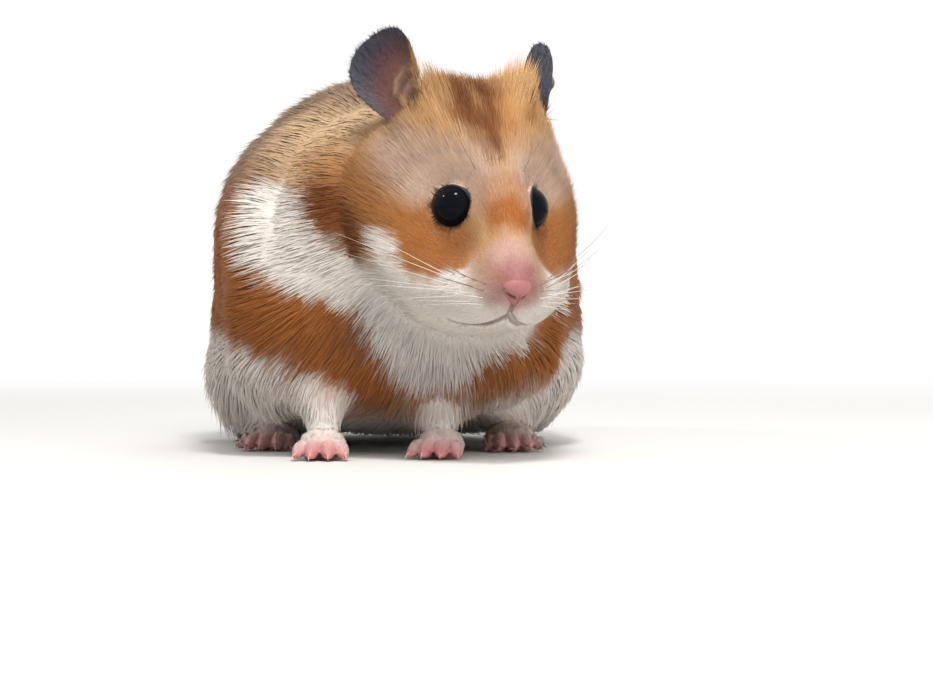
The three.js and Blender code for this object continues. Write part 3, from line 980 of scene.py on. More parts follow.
def ear_colours(points, normals, base, weights):
    """Slate with darker veins, a brownish hollow with painted highlights on its folds, and hair on
    the front edge.
    """
    for side in SIDES:
        ear = Ear(side)
        local = ear.local(points)
        spread = local[:, :2] - ear.FOOT[:2]
        turn = np.arctan2(spread[:, 0], spread[:, 1])
        veins = 1 + 0.24 * np.sin(turn * 70 + 2.5 * ripple(points, 3 * MM, 9))
        hollow = ear.hollow(normals)
        inside = blob(local[:, :2], (2.0, -3.4), (4.4, 5.6), 0.5) * hollow
        # Painted highlight along the ridges of the ear's folds, in the beige colour
        light = np.exp(-((ear.folds(local) / 0.9) ** 2)) * inside
        back, edge = ear.shaggy(local, normals)
        mottle = np.clip(0.5 + 0.7 * ripple(points, 1.6 * MM, 11), 0, 1)
        colour = painted(
            colour_of("ear") * veins[:, None],
            [
                (blob(local[:, :2], (1.4, -2.6), (6, 7.5), 0.35) * hollow * 0.6, "lip"),
                (inside, "ear_inside"),
                (light * 0.35, "beige"),
                (edge, "tan"),
                (back, "cheek"),
                (back * mottle * 0.6, "flash"),
            ],
        )
        base = mixed(base, colour, smooth_step(ear.near(points, weights), 0.3, 0.7))
    return base


# Where the pieces of the coat begin and end along the body, in millimetres
LENGTHWISE = {"shoulder": (-99, -10), "flank": (-10, 18), "rump": (18, 99)}
COAT_PIECES = [
    "coat_face_left",
    "coat_face_right",
    "coat_crown",
    "coat_neck",
    *(f"coat_{name}_{side}" for name in LENGTHWISE for side in SIDES),
    "coat_forelegs",
    "coat_hindlegs",
    "coat_ears",
]
FACE_BEFORE = 3  # in the head's own frame
FORELEGS_BEFORE = -18


def piece_weights(points, weights):
    """The share of each coat piece in each place. The shares add up to 1."""
    at = points / MM
    local = head.local(points)
    region = {name: part_of(weights, name) for name in REGIONS}
    body = region["trunk"] + region["tail"]
    face = (local[:, 1] < FACE_BEFORE).astype(float)
    shares = {
        "coat_face_left": region["head"] * face * (local[:, 0] > 0),
        "coat_face_right": region["head"] * face * (local[:, 0] <= 0),
        "coat_crown": region["head"] * (1 - face),
        "coat_neck": region["neck"],
        "coat_forelegs": (region["leg"] + region["paw"]) * (at[:, 1] < FORELEGS_BEFORE),
        "coat_hindlegs": (region["leg"] + region["paw"]) * (at[:, 1] >= FORELEGS_BEFORE),
        "coat_ears": region["ear"],
    }
    for name, (start, end) in LENGTHWISE.items():
        between = (at[:, 1] >= start) & (at[:, 1] < end)
        for side, sign in SIDES.items():
            shares[f"coat_{name}_{side}"] = body * between * ((at[:, 0] > 0.5) == (sign > 0))
    return shares


FACE_REACH = [3, 8, 14, 20, 27]  # millimetres from the nose
FACE_LENGTH = [0.8, 1.3, 1.9, 3, 4.6]  # and the length of the hair there
# Hair on each region: its length and width in millimetres, its number in a square
# millimetre, and the angle in radians at which it stands off the skin.
LENGTH = dict(trunk=6.8, neck=6, head=0, tail=2.5, leg=5.5, paw=1.4, ear=0)
WIDTH = dict(trunk=0.2, neck=0.19, head=0.18, tail=0.2, leg=0.19, paw=0.13, ear=0.1)
DENSITY = dict(trunk=7, neck=11, head=25, tail=8, leg=6.2, paw=9, ear=14)
TILT = dict(trunk=0.24, neck=0.24, head=0.17, tail=0.3, leg=0.26, paw=0.1, ear=0.2)
SHOWN_AT = 0.66  # the share of its length at which a tuft takes its colour
TOES_AT, TOES_RADII = [0, -4, -2.5], (6, 5.2, 3.4)  # from a paw's middle
PAD_AT = [0, 0.5, -0.9]  # from the middle of the nose's solid
HAIRLESS_AT = [0, 0.4, -0.9]


def mark(skin, lips_on_skin):
    """Stores the markings with their painted shade and highlights, and the lie, length, width and
    density of the coat, on the skin.
    """
    mesh = skin.data
    points, normals, edges = vertices_of(mesh), normals_of(mesh), edges_of(mesh)
    weights = region_weights(points, edges, 10)
    region = {name: part_of(weights, name) for name in REGIONS}
    at, local = points / MM, head.local(points)
    height = at[:, 2]

    wide = averaged(weights, edges, 24)
    near = {name: part_of(wide, name) for name in REGIONS}
    on_head = near["head"] + near["ear"]
    seam = border(near["head"])
    up = unit(mixed(averaged(normals, edges, 10), averaged(normals, edges, 60), seam))
    up = unit(mixed(up, normals, region["tail"]))
    lie = averaged(lie_of_coat(points, up, weights), edges, 12)
    lie = unit(lie - up * (lie * up).sum(axis=1)[:, None])

    ears = [Ear(side) for side in SIDES]
    fringe = np.max([ear.fringe(points) for ear in ears], axis=0) * region["head"]
    crown = blob(local, (-2, 8, 15), (7, 5, 4.5), 0.6) * on_head
    from_nose = np.linalg.norm(local - NOSE_AT, axis=1)
    lips = lips_on_skin.distance(local)
    eyes = np.min([np.linalg.norm(local - EYE_AT[s], axis=1) for s in SIDES], axis=0)
    face = np.interp(from_nose, FACE_REACH, FACE_LENGTH)
    face = face * mixed(0.5, 1.0, smooth_step(eyes, 3.4, 7))
    face = face * mixed(0.45, 1.0, smooth_step(lips, 0.4, 2.8))
    top = blob(local, (0, 9, 14), (11, 8, 5), 0.5)
    face = face - 1.3 * top * (1 - fringe) + 1.1 * crown + 3.2 * fringe
    length = by_region(wide, LENGTH)
    ahead = smooth_step(-normals[:, 1], 0, 0.6)
    breast = (1 - smooth_step(height, 16, 30)) * (at[:, 1] < -10) * ahead
    length = length + 1.6 * breast * (near["trunk"] + near["neck"])
    hem = smooth_step(-at[:, 0], 8, 16) * (1 - smooth_step(height, 10, 20)) * (at[:, 1] > -30)
    length = length + 5 * hem * (near["trunk"] + near["leg"])
    beneath = smooth_step(-normals[:, 2], 0.1, 0.6) * (1 - smooth_step(height, 6, 10))
    length = length * (1 - 0.65 * beneath * (at[:, 1] > 5))
    foreleg = near["leg"] * (at[:, 1] < FORELEGS_BEFORE)
    length = length * (1 - 0.5 * foreleg * (1 - smooth_step(height, 6, 17)))
    hind = smooth_step(at[:, 1], -26, -16)
    length = mixed(length, 1.6 + 1.4 * hind, region["paw"]) + face * near["head"]

    shown = points + lie * (SHOWN_AT * length * (1 - region["ear"]))[:, None] * MM
    colour = mixed(body_colours(shown), head_colours(shown), smooth_step(on_head, 0.25, 0.75))
    toes = [blob(at, centre(paw) / MM + TOES_AT, TOES_RADII, 0.5) for paw in PAWS]
    toes = np.max(toes, axis=0)
    # Painted shade: the toes are darkened where the skin is hollow, in the creases between them
    groove = ((averaged(points, edges, 10) - points) * normals).sum(axis=1) / MM
    feet = mixed(colour_of("paw")[None, :], colour_of("toe"), toes * 0.85)
    feet = mixed(feet, colour_of("toe") * 0.45, toes * smooth_step(groove, 0.02, 0.14))
    colour = mixed(colour, feet, smooth_step(region["paw"], 0.3, 0.8))
    colour = ear_colours(points, normals, colour, weights)

    bare = np.zeros(len(points))
    opening = settings("skin").lid_angle
    for side in SIDES:
        ray, reach, angle = from_eye(local, side)
        near_eye = reach < EYE_RADIUS + 0.25
        around_eye = 1 - smooth_step(reach, EYE_RADIUS + 0.4, EYE_RADIUS + 0.9)
        inner = smooth_step(-SIDES[side] * ray[:, 0] / np.maximum(reach, 1e-9), 0, 0.5)
        start = opening + 0.04 + 0.14 * inner
        rim = 1 - smooth_step(angle, start, opening + 0.1 + 0.24 * inner)
        colour = mixed(colour, colour_of("lid"), rim * near_eye)
        start = opening + 0.14 + 0.2 * inner
        hairless = 1 - smooth_step(angle, start, opening + 0.24 + 0.2 * inner)
        bare = np.maximum(bare, hairless * around_eye)
    # The line between the lips: partly the lips' own colour, partly painted shade in the crease
    in_line = 1 - smooth_step(lips, 0.3, 0.75)
    colour = mixed(colour, colour_of("lip"), in_line)
    pad = 1 - smooth_step(np.linalg.norm(local - NOSE_AT - HAIRLESS_AT, axis=1), 1.7, 2.5)
    bare = np.maximum.reduce([bare, in_line, pad])

    shaggy = np.zeros(len(points))
    for ear in ears:
        back, edge = ear.shaggy(ear.local(points), normals)
        shaggy = np.maximum(shaggy, (1.5 * back + edge) * ear.near(points, weights))
    length = mixed(length, 0.9 + 2.8 * shaggy, region["ear"])
    width = by_region(weights, WIDTH)
    width = width * mixed(0.62, 1.0, smooth_step(from_nose, 3, 16)) * (1 + 0.3 * shaggy)
    density = by_region(weights, DENSITY)
    density = density * mixed(1.6, 1.0, smooth_step(from_nose, 4, 14)) * (1 - bare)
    under = smooth_step(-normals[:, 2], 0.6, 0.9) * (height < 6)
    density = density * (1 - 0.8 * under) * (1 - 0.95 * toes * region["paw"])
    rear = smooth_step(from_nose, 19, 27) * region["head"]
    raised = smooth_step(height, 36, 50) * region["trunk"]
    tilt = by_region(weights, TILT) + 0.3 * crown + 0.8 * fringe + 0.3 * shaggy
    tilt = tilt + 0.12 * rear * (1 - top) + 0.16 * raised
    high = smooth_step(height, 38, 51) * (1 - on_head) * (1 - 0.85 * nape_of(at))
    # Dark tips: the ticked hair of the back, and painted shade on the breast
    tick = np.clip(0.55 * high + 0.6 * blob(at, *BREAST_SHADE, 0.7), 0, 1)
    tick = np.maximum(tick, 0.6 * blob(local, (-1.6, 7, 14.2), (3.2, 7.5, 5), 0.55))

    lean = unit(lie * np.cos(tilt)[:, None] + up * np.sin(tilt)[:, None])
    set_attribute(mesh, "up", "FLOAT_VECTOR", up)
    set_attribute(mesh, "fur", "FLOAT_COLOR", np.column_stack([colour, np.ones(len(colour))]))
    set_attribute(mesh, "lean", "FLOAT_VECTOR", lean)
    set_attribute(mesh, "coat_length", "FLOAT", length * MM)
    set_attribute(mesh, "coat_width", "FLOAT", width * MM)
    set_attribute(mesh, "coat_density", "FLOAT", density / MM**2)
    set_attribute(mesh, "tick", "FLOAT", tick)
    for name, share in piece_weights(points, weights).items():
        set_attribute(mesh, name, "FLOAT", share)


# ---- node trees -------------------------------------------------------------


class Tree:
    """A short way to write a node tree."""

    def __init__(self, tree):
        self.tree = tree

    def node(self, kind, inputs=None, **values):
        made = self.tree.nodes.new(kind)
        for key, value in values.items():
            setattr(made, key, value)
        for key, value in (inputs or {}).items():
            self.feed(made.inputs[key], value)
        return made

    def feed(self, socket, value):
        if isinstance(value, bpy.types.NodeSocket):
            self.tree.links.new(value, socket)
        elif isinstance(value, bpy.types.Node):
            self.tree.links.new(value.outputs[0], socket)
        else:
            socket.default_value = value


LENGTH_SPREAD = (0.62, 1.25)  # shares of a tuft's length and width that chance may give
WIDTH_SPREAD = (0.7, 1.3)
FLATNESS = 0.7  # a tuft's thickness as a share of its width
LOWEST_HAIR = 0.05 * MM


def coat_tree(tuft, material):
    """Scatters tufts over the skin and lays them along its coat."""
    tree = bpy.data.node_groups.new("Coat", "GeometryNodeTree")
    face = tree.interface
    face.new_socket("Skin", in_out="INPUT", socket_type="NodeSocketGeometry")
    face.new_socket("Region", in_out="INPUT", socket_type="NodeSocketString")
    for name in ("Density", "Length", "Width", "Disorder", "Clumping", "Clump Size", "Sag",
                 "Softness", "Patch"):
        face.new_socket(name, in_out="INPUT", socket_type="NodeSocketFloat")
    face.new_socket("Seed", in_out="INPUT", socket_type="NodeSocketInt")
    face.new_socket("Coat", in_out="OUTPUT", socket_type="NodeSocketGeometry")
    t = Tree(tree)
    given = t.node("NodeGroupInput").outputs

    def named(name, kind="FLOAT"):
        return t.node("GeometryNodeInputNamedAttribute", {"Name": name}, data_type=kind).outputs[0]

    def scalar(operation, a, b):
        return t.node("ShaderNodeMath", {0: a, 1: b}, operation=operation).outputs[0]

    def vector(operation, a, b):
        return t.node("ShaderNodeVectorMath", {0: a, 1: b}, operation=operation).outputs[0]

    def scaled(a, share):
        made = t.node("ShaderNodeVectorMath", {0: a}, operation="SCALE")
        t.feed(made.inputs["Scale"], share)
        return made.outputs[0]

    def chance(low, high, shift):
        seed = scalar("ADD", given["Seed"], shift)
        made = t.node("FunctionNodeRandomValue", data_type="FLOAT")
        t.feed(made.inputs[2], low)
        t.feed(made.inputs[3], high)
        t.feed(made.inputs["Seed"], seed)
        return made.outputs[1]

    def stored(geometry, name, kind, domain, value):
        made = t.node(
            "GeometryNodeStoreNamedAttribute",
            {"Geometry": geometry, "Name": name},
            data_type=kind,
            domain=domain,
        )
        t.feed(made.inputs["Value"], value)
        return made.outputs[0]

    region = t.node("GeometryNodeInputNamedAttribute", {"Name": given["Region"]}, data_type="FLOAT")
    share = scalar("MULTIPLY", region.outputs[0], given["Density"])
    density = scalar("MULTIPLY", named("coat_density"), share)
    scatter = t.node(
        "GeometryNodeDistributePointsOnFaces",
        {"Mesh": given["Skin"], "Density": density, "Seed": given["Seed"]},
        distribute_method="RANDOM",
    )
    points = scatter.outputs["Points"]

    place = t.node("GeometryNodeInputPosition").outputs[0]
    grain = scalar("DIVIDE", 1.0, given["Clump Size"])
    noise = t.node(
        "ShaderNodeTexNoise",
        {"Vector": place, "Scale": grain, "Detail": 1.0},
        noise_dimensions="3D",
    )
    lock = scaled(vector("SUBTRACT", noise.outputs["Color"], (0.5, 0.5, 0.5)), given["Clumping"])
    stray = t.node("FunctionNodeRandomValue", data_type="FLOAT_VECTOR")
    t.feed(stray.inputs[0], (-1, -1, -1))
    t.feed(stray.inputs[1], (1, 1, 1))
    t.feed(stray.inputs["Seed"], given["Seed"])
    stray = scaled(stray.outputs[0], given["Disorder"])
    lean = vector("ADD", vector("ADD", named("lean", "FLOAT_VECTOR"), lock), stray)
    up = named("up", "FLOAT_VECTOR")
    turn = t.node(
        "FunctionNodeAxesToRotation",
        {"Primary Axis": lean, "Secondary Axis": up},
        primary_axis="X",
        secondary_axis="Z",
    )
    long = scalar("MULTIPLY", given["Length"], chance(*LENGTH_SPREAD, 1))
    long = scalar("MULTIPLY", named("coat_length"), long)
    wide = scalar("MULTIPLY", given["Width"], chance(*WIDTH_SPREAD, 2))
    wide = scalar("MULTIPLY", named("coat_width"), wide)
    flat = scalar("MULTIPLY", wide, FLATNESS)
    size = t.node("ShaderNodeCombineXYZ", {0: long, 1: wide, 2: flat})
    points = stored(points, "sag", "FLOAT_VECTOR", "POINT",
                    scaled(scaled(up, scalar("MULTIPLY", given["Sag"], -1.0)), long))
    points = stored(points, "shade", "FLOAT", "POINT", chance(0.0, 1.0, 3))
    laid = t.node(
        "GeometryNodeInstanceOnPoints",
        {
            "Points": points,
            "Instance": t.node("GeometryNodeObjectInfo", {"Object": tuft}).outputs["Geometry"],
            "Rotation": turn,
            "Scale": size,
        },
    )
    real = t.node("GeometryNodeRealizeInstances", {"Geometry": laid}).outputs[0]
    along = named("along")
    bend = scaled(named("sag", "FLOAT_VECTOR"), scalar("MULTIPLY", along, along))
    bent = t.node("GeometryNodeSetPosition", {"Geometry": real, "Offset": bend}).outputs[0]
    place = t.node("GeometryNodeInputPosition").outputs[0]
    x, y, z = t.node("ShaderNodeSeparateXYZ", {0: place}).outputs
    level = t.node("ShaderNodeCombineXYZ", {0: x, 1: y, 2: scalar("MAXIMUM", z, LOWEST_HAIR)})
    bent = t.node("GeometryNodeSetPosition", {"Geometry": bent, "Position": level}).outputs[0]
    patch_on_map = scaled(named("patch", "FLOAT_VECTOR"), given["Patch"])
    spot = vector("ADD", named("unwrap", "FLOAT_VECTOR"), patch_on_map)
    mapped = stored(bent, "OFBake", "FLOAT2", "CORNER", spot)
    smooth = t.node("GeometryNodeSetShadeSmooth", {"Geometry": mapped}).outputs[0]
    own = t.node("GeometryNodeInputNormal").outputs["Normal"]
    blend = t.node("ShaderNodeMix", {"Factor": given["Softness"]}, data_type="VECTOR")
    t.feed(blend.inputs[4], own)
    t.feed(blend.inputs[5], named("up", "FLOAT_VECTOR"))
    soft = t.node(
        "GeometryNodeSetMeshNormal",
        {"Mesh": smooth, "Custom Normal": vector("NORMALIZE", blend.outputs[1], (0, 0, 0))},
        mode="FREE",
        domain="CORNER",
    ).outputs[0]
    for name in ("up", "sag", "lean", "coat_length", "coat_width", "coat_density", "unwrap",
                 "patch", *COAT_PIECES):
        soft = t.node("GeometryNodeRemoveAttribute", {"Geometry": soft, "Name": name}).outputs[0]
    dressed = t.node("GeometryNodeSetMaterial", {"Geometry": soft, "Material": material})
    out = t.node("NodeGroupOutput")
    t.feed(out.inputs[0], dressed)
    return tree


def tuft_object(name, rings):
    """One closed tuft of unit length along X, three-sided, from its root to its tip."""
    shape = bmesh.new()
    along = shape.verts.layers.float.new("along")
    corners = []
    for share, girth in rings:
        ring = []
        for n in range(3):
            angle = math.radians(90 + 120 * n)
            across, above = math.cos(angle), math.sin(angle)
            vertex = shape.verts.new((share, 0.5 * girth * across, 0.5 * girth * above))
            vertex[along] = share
            ring.append(vertex)
        corners.append(ring)
    tip = shape.verts.new((1, 0, 0))
    tip[along] = 1
    patch = shape.loops.layers.uv.new("patch")

    def face(*spots):
        made = shape.faces.new([vertex for vertex, _, _ in spots])
        for loop, (_, u, v) in zip(made.loops, spots):
            loop[patch].uv = (u - 0.5, v - 0.5)

    for n in range(3):
        u, w = n / 3, (n + 1) / 3
        for low, high in zip(range(len(rings) - 1), range(1, len(rings))):
            a, b = corners[low][n], corners[low][(n + 1) % 3]
            c, d = corners[high][(n + 1) % 3], corners[high][n]
            v, z = rings[low][0], rings[high][0]
            face((a, u, v), (b, w, v), (c, w, z), (d, u, z))
        face((corners[-1][n], u, rings[-1][0]), (corners[-1][(n + 1) % 3], w, rings[-1][0]),
             (tip, (u + w) / 2, 1))
    face((corners[0][2], 0, 0), (corners[0][1], 0.2, 0), (corners[0][0], 0.1, 0.08))
    bmesh.ops.recalc_face_normals(shape, faces=shape.faces)
    return object_from(shape, name)


# Rings of a tuft: how far along it they lie, and how wide they are
LONG_TUFT = [(0, 0.6), (0.45, 1.0)]
SHORT_TUFT = [(0, 1.1)]
SHORT_PIECES = ("face", "crown", "ears")
SHORT_CLUMPING = 0.7


class HAMSTER_OT_coat(bpy.types.Operator):
    """Covers the skin in tufts, in pieces that an export can hold"""

    bl_idname = "hamster.coat"
    bl_label = "Coat"

    def execute(self, context):
        skin = bpy.data.objects["skin"]
        coat = settings("coat")
        tufts = {
            "long": tuft_object("long_tuft", LONG_TUFT),
            "short": tuft_object("short_tuft", SHORT_TUFT),
        }
        material = coat_material()
        trees = {kind: coat_tree(tuft, material) for kind, tuft in tufts.items()}
        for number, name in enumerate(COAT_PIECES):
            kind = "short" if any(part in name for part in SHORT_PIECES) else "long"
            made = new_object(name, skin.data.copy())
            grow = made.modifiers.new("Coat", "NODES")
            grow.node_group = trees[kind]
            values = {
                "Region": name,
                "Density": coat.density * 1,
                "Length": coat.length,
                "Width": coat.width * 1,
                "Disorder": coat.disorder,
                "Clumping": coat.clump * (SHORT_CLUMPING if kind == "short" else 1),
                "Clump Size": coat.clump_size,
                "Sag": coat.sag,
                "Softness": coat.softness,
                "Patch": coat.patch,
                "Seed": coat.seed + number,
            }
            for item in trees[kind].interface.items_tree:
                if item.name in values:
                    grow[item.identifier] = values[item.name]
            copied = made.data
            finished(made, name)
            bpy.data.meshes.remove(copied)
            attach(made, BODY)
        for tuft in tufts.values():
            bpy.data.objects.remove(tuft)
        return {"FINISHED"}


# ---- materials --------------------------------------------------------------


def new_material(name, finish):
    """A material with one surface shader, whose own sockets take the finish."""
    material = bpy.data.materials.new(name)
    material.use_nodes = True
    material.node_tree.nodes.clear()
    t = Tree(material.node_tree)
    surface = t.node("ShaderNodeBsdfPrincipled", finish)
    t.node("ShaderNodeOutputMaterial", {0: surface})
    return material, t, surface


def blended(t, share, a, b):
    """One colour turning into another."""
    made = t.node("ShaderNodeMix", data_type="RGBA")
    for socket, value in ((0, share), (6, a), (7, b)):
        t.feed(made.inputs[socket], value)
    return made.outputs[2]


def tinted(t, colour, level):
    """A colour times a level of grey."""
    grey = t.node("ShaderNodeCombineColor", {0: level, 1: level, 2: level})
    made = t.node("ShaderNodeMix", data_type="RGBA", blend_type="MULTIPLY")
    t.feed(made.inputs["Factor"], 1.0)
    t.feed(made.inputs[6], colour)
    t.feed(made.inputs[7], grey)
    return made.outputs[2]


def coat_material():
    finish = {
        "Roughness": 0.6,
        "Specular IOR Level": 0.1,
        "Sheen Weight": 0.05,
        "Sheen Roughness": 0.5,
    }
    material, t, surface = new_material("hamster_fur", finish)

    def carried(name, output="Fac"):
        return t.node("ShaderNodeAttribute", attribute_name=name).outputs[output]

    shade, along = carried("shade"), carried("along")
    level = t.node("ShaderNodeMapRange", {0: shade, 3: 0.84, 4: 1.12})
    # Each tuft is darker towards its root: partly the hair's own grey base, partly painted shade
    # deep in the coat
    root = t.node("ShaderNodeMapRange", {0: along, 1: 0.0, 2: 0.6, 3: 0.9, 4: 1.0})
    both = t.node("ShaderNodeMath", {0: level, 1: root}, operation="MULTIPLY")
    fur = tinted(t, carried("fur", "Color"), both)
    # Some tufts get dark tips: the ticked hair of the back, and painted shade on the breast
    some = t.node("ShaderNodeMapRange", {0: shade, 1: 0.35, 2: 0.6})
    tip = t.node("ShaderNodeMapRange", {0: along, 1: 0.55, 2: 0.95})
    dark = t.node("ShaderNodeMath", {0: some, 1: tip}, operation="MULTIPLY")
    dark = t.node("ShaderNodeMath", {0: dark, 1: carried("tick")}, operation="MULTIPLY")
    t.feed(surface.inputs["Base Color"], blended(t, dark, fur, (*colour_of("ticking_and_shade"), 1)))
    return material


def skin_material():
    finish = {
        "Roughness": 0.55,
        "Subsurface Weight": 0.12,
        "Subsurface Radius": (1, 0.35, 0.25),
        "Subsurface Scale": 1.2 * MM,
    }
    material, t, surface = new_material("hamster_skin", finish)
    fur = t.node("ShaderNodeAttribute", attribute_name="fur").outputs["Color"]
    place = t.node("ShaderNodeTexCoord").outputs["Object"]
    fine = t.node("ShaderNodeTexNoise", {"Vector": place, "Scale": 1800.0, "Detail": 3.0})
    broad = t.node("ShaderNodeTexNoise", {"Vector": place, "Scale": 420.0, "Detail": 2.0})
    level = t.node("ShaderNodeMapRange", {0: broad.outputs[0], 3: 0.72, 4: 1.12})
    t.feed(surface.inputs["Base Color"], tinted(t, fur, level))
    relief = {"Height": fine.outputs[0], "Distance": 0.12 * MM, "Strength": 0.6}
    t.feed(surface.inputs["Normal"], t.node("ShaderNodeBump", relief))
    return material


# ---- eyes, nose, whiskers and claws -----------------------------------------


class HAMSTER_OT_eyes(bpy.types.Operator):
    """Makes the two glossy black eyes"""

    bl_idname = "hamster.eyes"
    bl_label = "Eyes"

    BROWNER = (2.2, 1.6, 1.4)

    def execute(self, context):
        finish = {"Roughness": 0.04, "Specular IOR Level": 0.07}
        material, t, surface = new_material("hamster_eye", finish)
        place = t.node("ShaderNodeTexCoord").outputs["Object"]
        cloud = t.node("ShaderNodeTexNoise", {"Vector": place, "Scale": 500.0})
        dark, brown = colour_of("eye"), colour_of("eye") * self.BROWNER
        colour = blended(t, cloud.outputs[0], (*dark, 1), (*brown, 1))
        t.feed(surface.inputs["Base Color"], colour)
        for side in SIDES:
            shape = bmesh.new()
            bmesh.ops.create_uvsphere(shape, u_segments=48, v_segments=32, radius=EYE_RADIUS * MM)
            sort_faces(shape)
            bmesh.ops.translate(shape, verts=shape.verts, vec=Vector(head.world(EYE_AT[side])))
            made = object_from(shape, f"eyeball_{side}")
            shade_smooth(made.data)
            made.data.materials.append(material)
            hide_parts(f"eye_{side}")
            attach(made, BODY)
        return {"FINISHED"}


class HAMSTER_OT_nose(bpy.types.Operator):
    """Makes the nose pad with its nostrils"""

    bl_idname = "hamster.nose"
    bl_label = "Nose"

    RADII = [2.35, 2.0, 2.3]
    NOSTRIL = [(0.3, -0.86, -0.2), (0.62, -0.72, -0.12), (0.86, -0.42, 0.1)]  # on a unit ball
    NOSTRIL_WIDTH, NOSTRIL_DEPTH = 0.13, 0.34
    CLEFT_WIDTH, CLEFT_DEPTH = 0.09, 0.1

    def execute(self, context):
        shape = bmesh.new()
        bmesh.ops.create_icosphere(shape, subdivisions=6, radius=1)
        made = object_from(shape, "nose_pad")
        mesh = made.data
        at = vertices_of(mesh)
        slit = path_distance(both_sides(at), self.NOSTRIL)
        pit = np.exp(-((slit / self.NOSTRIL_WIDTH) ** 2))
        cleft = np.exp(-((at[:, 0] / self.CLEFT_WIDTH) ** 2))
        cleft = cleft * smooth_step(-at[:, 2], -0.3, 0.3) * (at[:, 1] < 0)
        out = at * (1 - self.NOSTRIL_DEPTH * pit - self.CLEFT_DEPTH * cleft)[:, None]
        out[:, 0] *= mixed(0.5, 1.06, smooth_step(at[:, 2], -1, 0.4))
        out = out * self.RADII + NOSE_AT + PAD_AT
        set_vertices(mesh, head.world(out))
        shade_smooth(mesh)
        # The pit mark holds painted shade in the nostrils and the cleft
        set_attribute(mesh, "pit", "FLOAT", np.clip(pit + 0.35 * cleft, 0, 1))
        finish = {"Roughness": 0.52, "Subsurface Weight": 0.2, "Subsurface Scale": 1 * MM}
        material, t, surface = new_material("hamster_nose", finish)
        place = t.node("ShaderNodeTexCoord").outputs["Object"]
        grain = t.node("ShaderNodeTexNoise", {"Vector": place, "Scale": 2600.0, "Detail": 2.0})
        hollow = t.node("ShaderNodeAttribute", attribute_name="pit").outputs["Fac"]
        # Painted shade: the nostrils and the cleft turn to half the lip colour
        pink, inside = (*colour_of("nose"), 1), (*colour_of("lip") * 0.5, 1)
        t.feed(surface.inputs["Base Color"], blended(t, hollow, pink, inside))
        relief = {"Height": grain.outputs[0], "Distance": 0.08 * MM, "Strength": 0.5}
        t.feed(surface.inputs["Normal"], t.node("ShaderNodeBump", relief))
        mesh.materials.append(material)
        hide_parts("nose")
        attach(made, BODY)
        return {"FINISHED"}


def strand_tree(material):
    """Sweeps a round, tapering strand along every line of a mesh."""
    tree = bpy.data.node_groups.new("Strands", "GeometryNodeTree")
    tree.interface.new_socket("Lines", in_out="INPUT", socket_type="NodeSocketGeometry")
    tree.interface.new_socket("Thickness", in_out="INPUT", socket_type="NodeSocketFloat")
    tree.interface.new_socket("Strands", in_out="OUTPUT", socket_type="NodeSocketGeometry")
    t = Tree(tree)
    given = t.node("NodeGroupInput").outputs
    line = t.node("GeometryNodeMeshToCurve", {"Mesh": given["Lines"]})
    girth = t.node("GeometryNodeInputNamedAttribute", {"Name": "girth"}, data_type="FLOAT")
    size = t.node("ShaderNodeMath", {0: girth, 1: given["Thickness"]}, operation="MULTIPLY")
    ring = t.node("GeometryNodeCurvePrimitiveCircle", {"Resolution": 5, "Radius": 1.0})
    swept = t.node(
        "GeometryNodeCurveToMesh",
        {"Curve": line, "Profile Curve": ring.outputs[0], "Scale": size, "Fill Caps": True},
    )
    smooth = t.node("GeometryNodeSetShadeSmooth", {"Geometry": swept})
    real = t.node("GeometryNodeRealizeInstances", {"Geometry": smooth})
    dressed = t.node("GeometryNodeSetMaterial", {"Geometry": real, "Material": material})
    t.feed(t.node("NodeGroupOutput").inputs[0], dressed)
    return tree


def strands(name, paths, tree):
    """One mesh of tapering strands. A path is its points in metres, girths and a colour."""
    shape = bmesh.new()
    girth = shape.verts.layers.float.new("girth")
    tint = shape.verts.layers.float_color.new("tint")
    for points, girths, colour in paths:
        last = None
        for point, size in zip(points, girths):
            vertex = shape.verts.new(point)
            vertex[girth] = size
            vertex[tint] = (*colour, 1)
            if last:
                shape.edges.new((last, vertex))
            last = vertex
    made = object_from(shape, name)
    grow = made.modifiers.new("Strands", "NODES")
    grow.node_group = tree
    item = next(i for i in tree.interface.items_tree if i.name == "Thickness")
    grow[item.identifier] = 1.0
    finished(made, name)
    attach(made, BODY)
    return made


def strand_material(name, roughness):
    material, t, surface = new_material(name, {"Roughness": roughness})
    tint = t.node("ShaderNodeAttribute", attribute_name="tint").outputs["Color"]
    place = t.node("ShaderNodeTexCoord").outputs["Object"]
    grain = t.node("ShaderNodeTexNoise", {"Vector": place, "Scale": 900.0})
    level = t.node("ShaderNodeMapRange", {0: grain.outputs[0], 3: 0.86, 4: 1.1})
    t.feed(surface.inputs["Base Color"], tinted(t, tint, level))
    return material


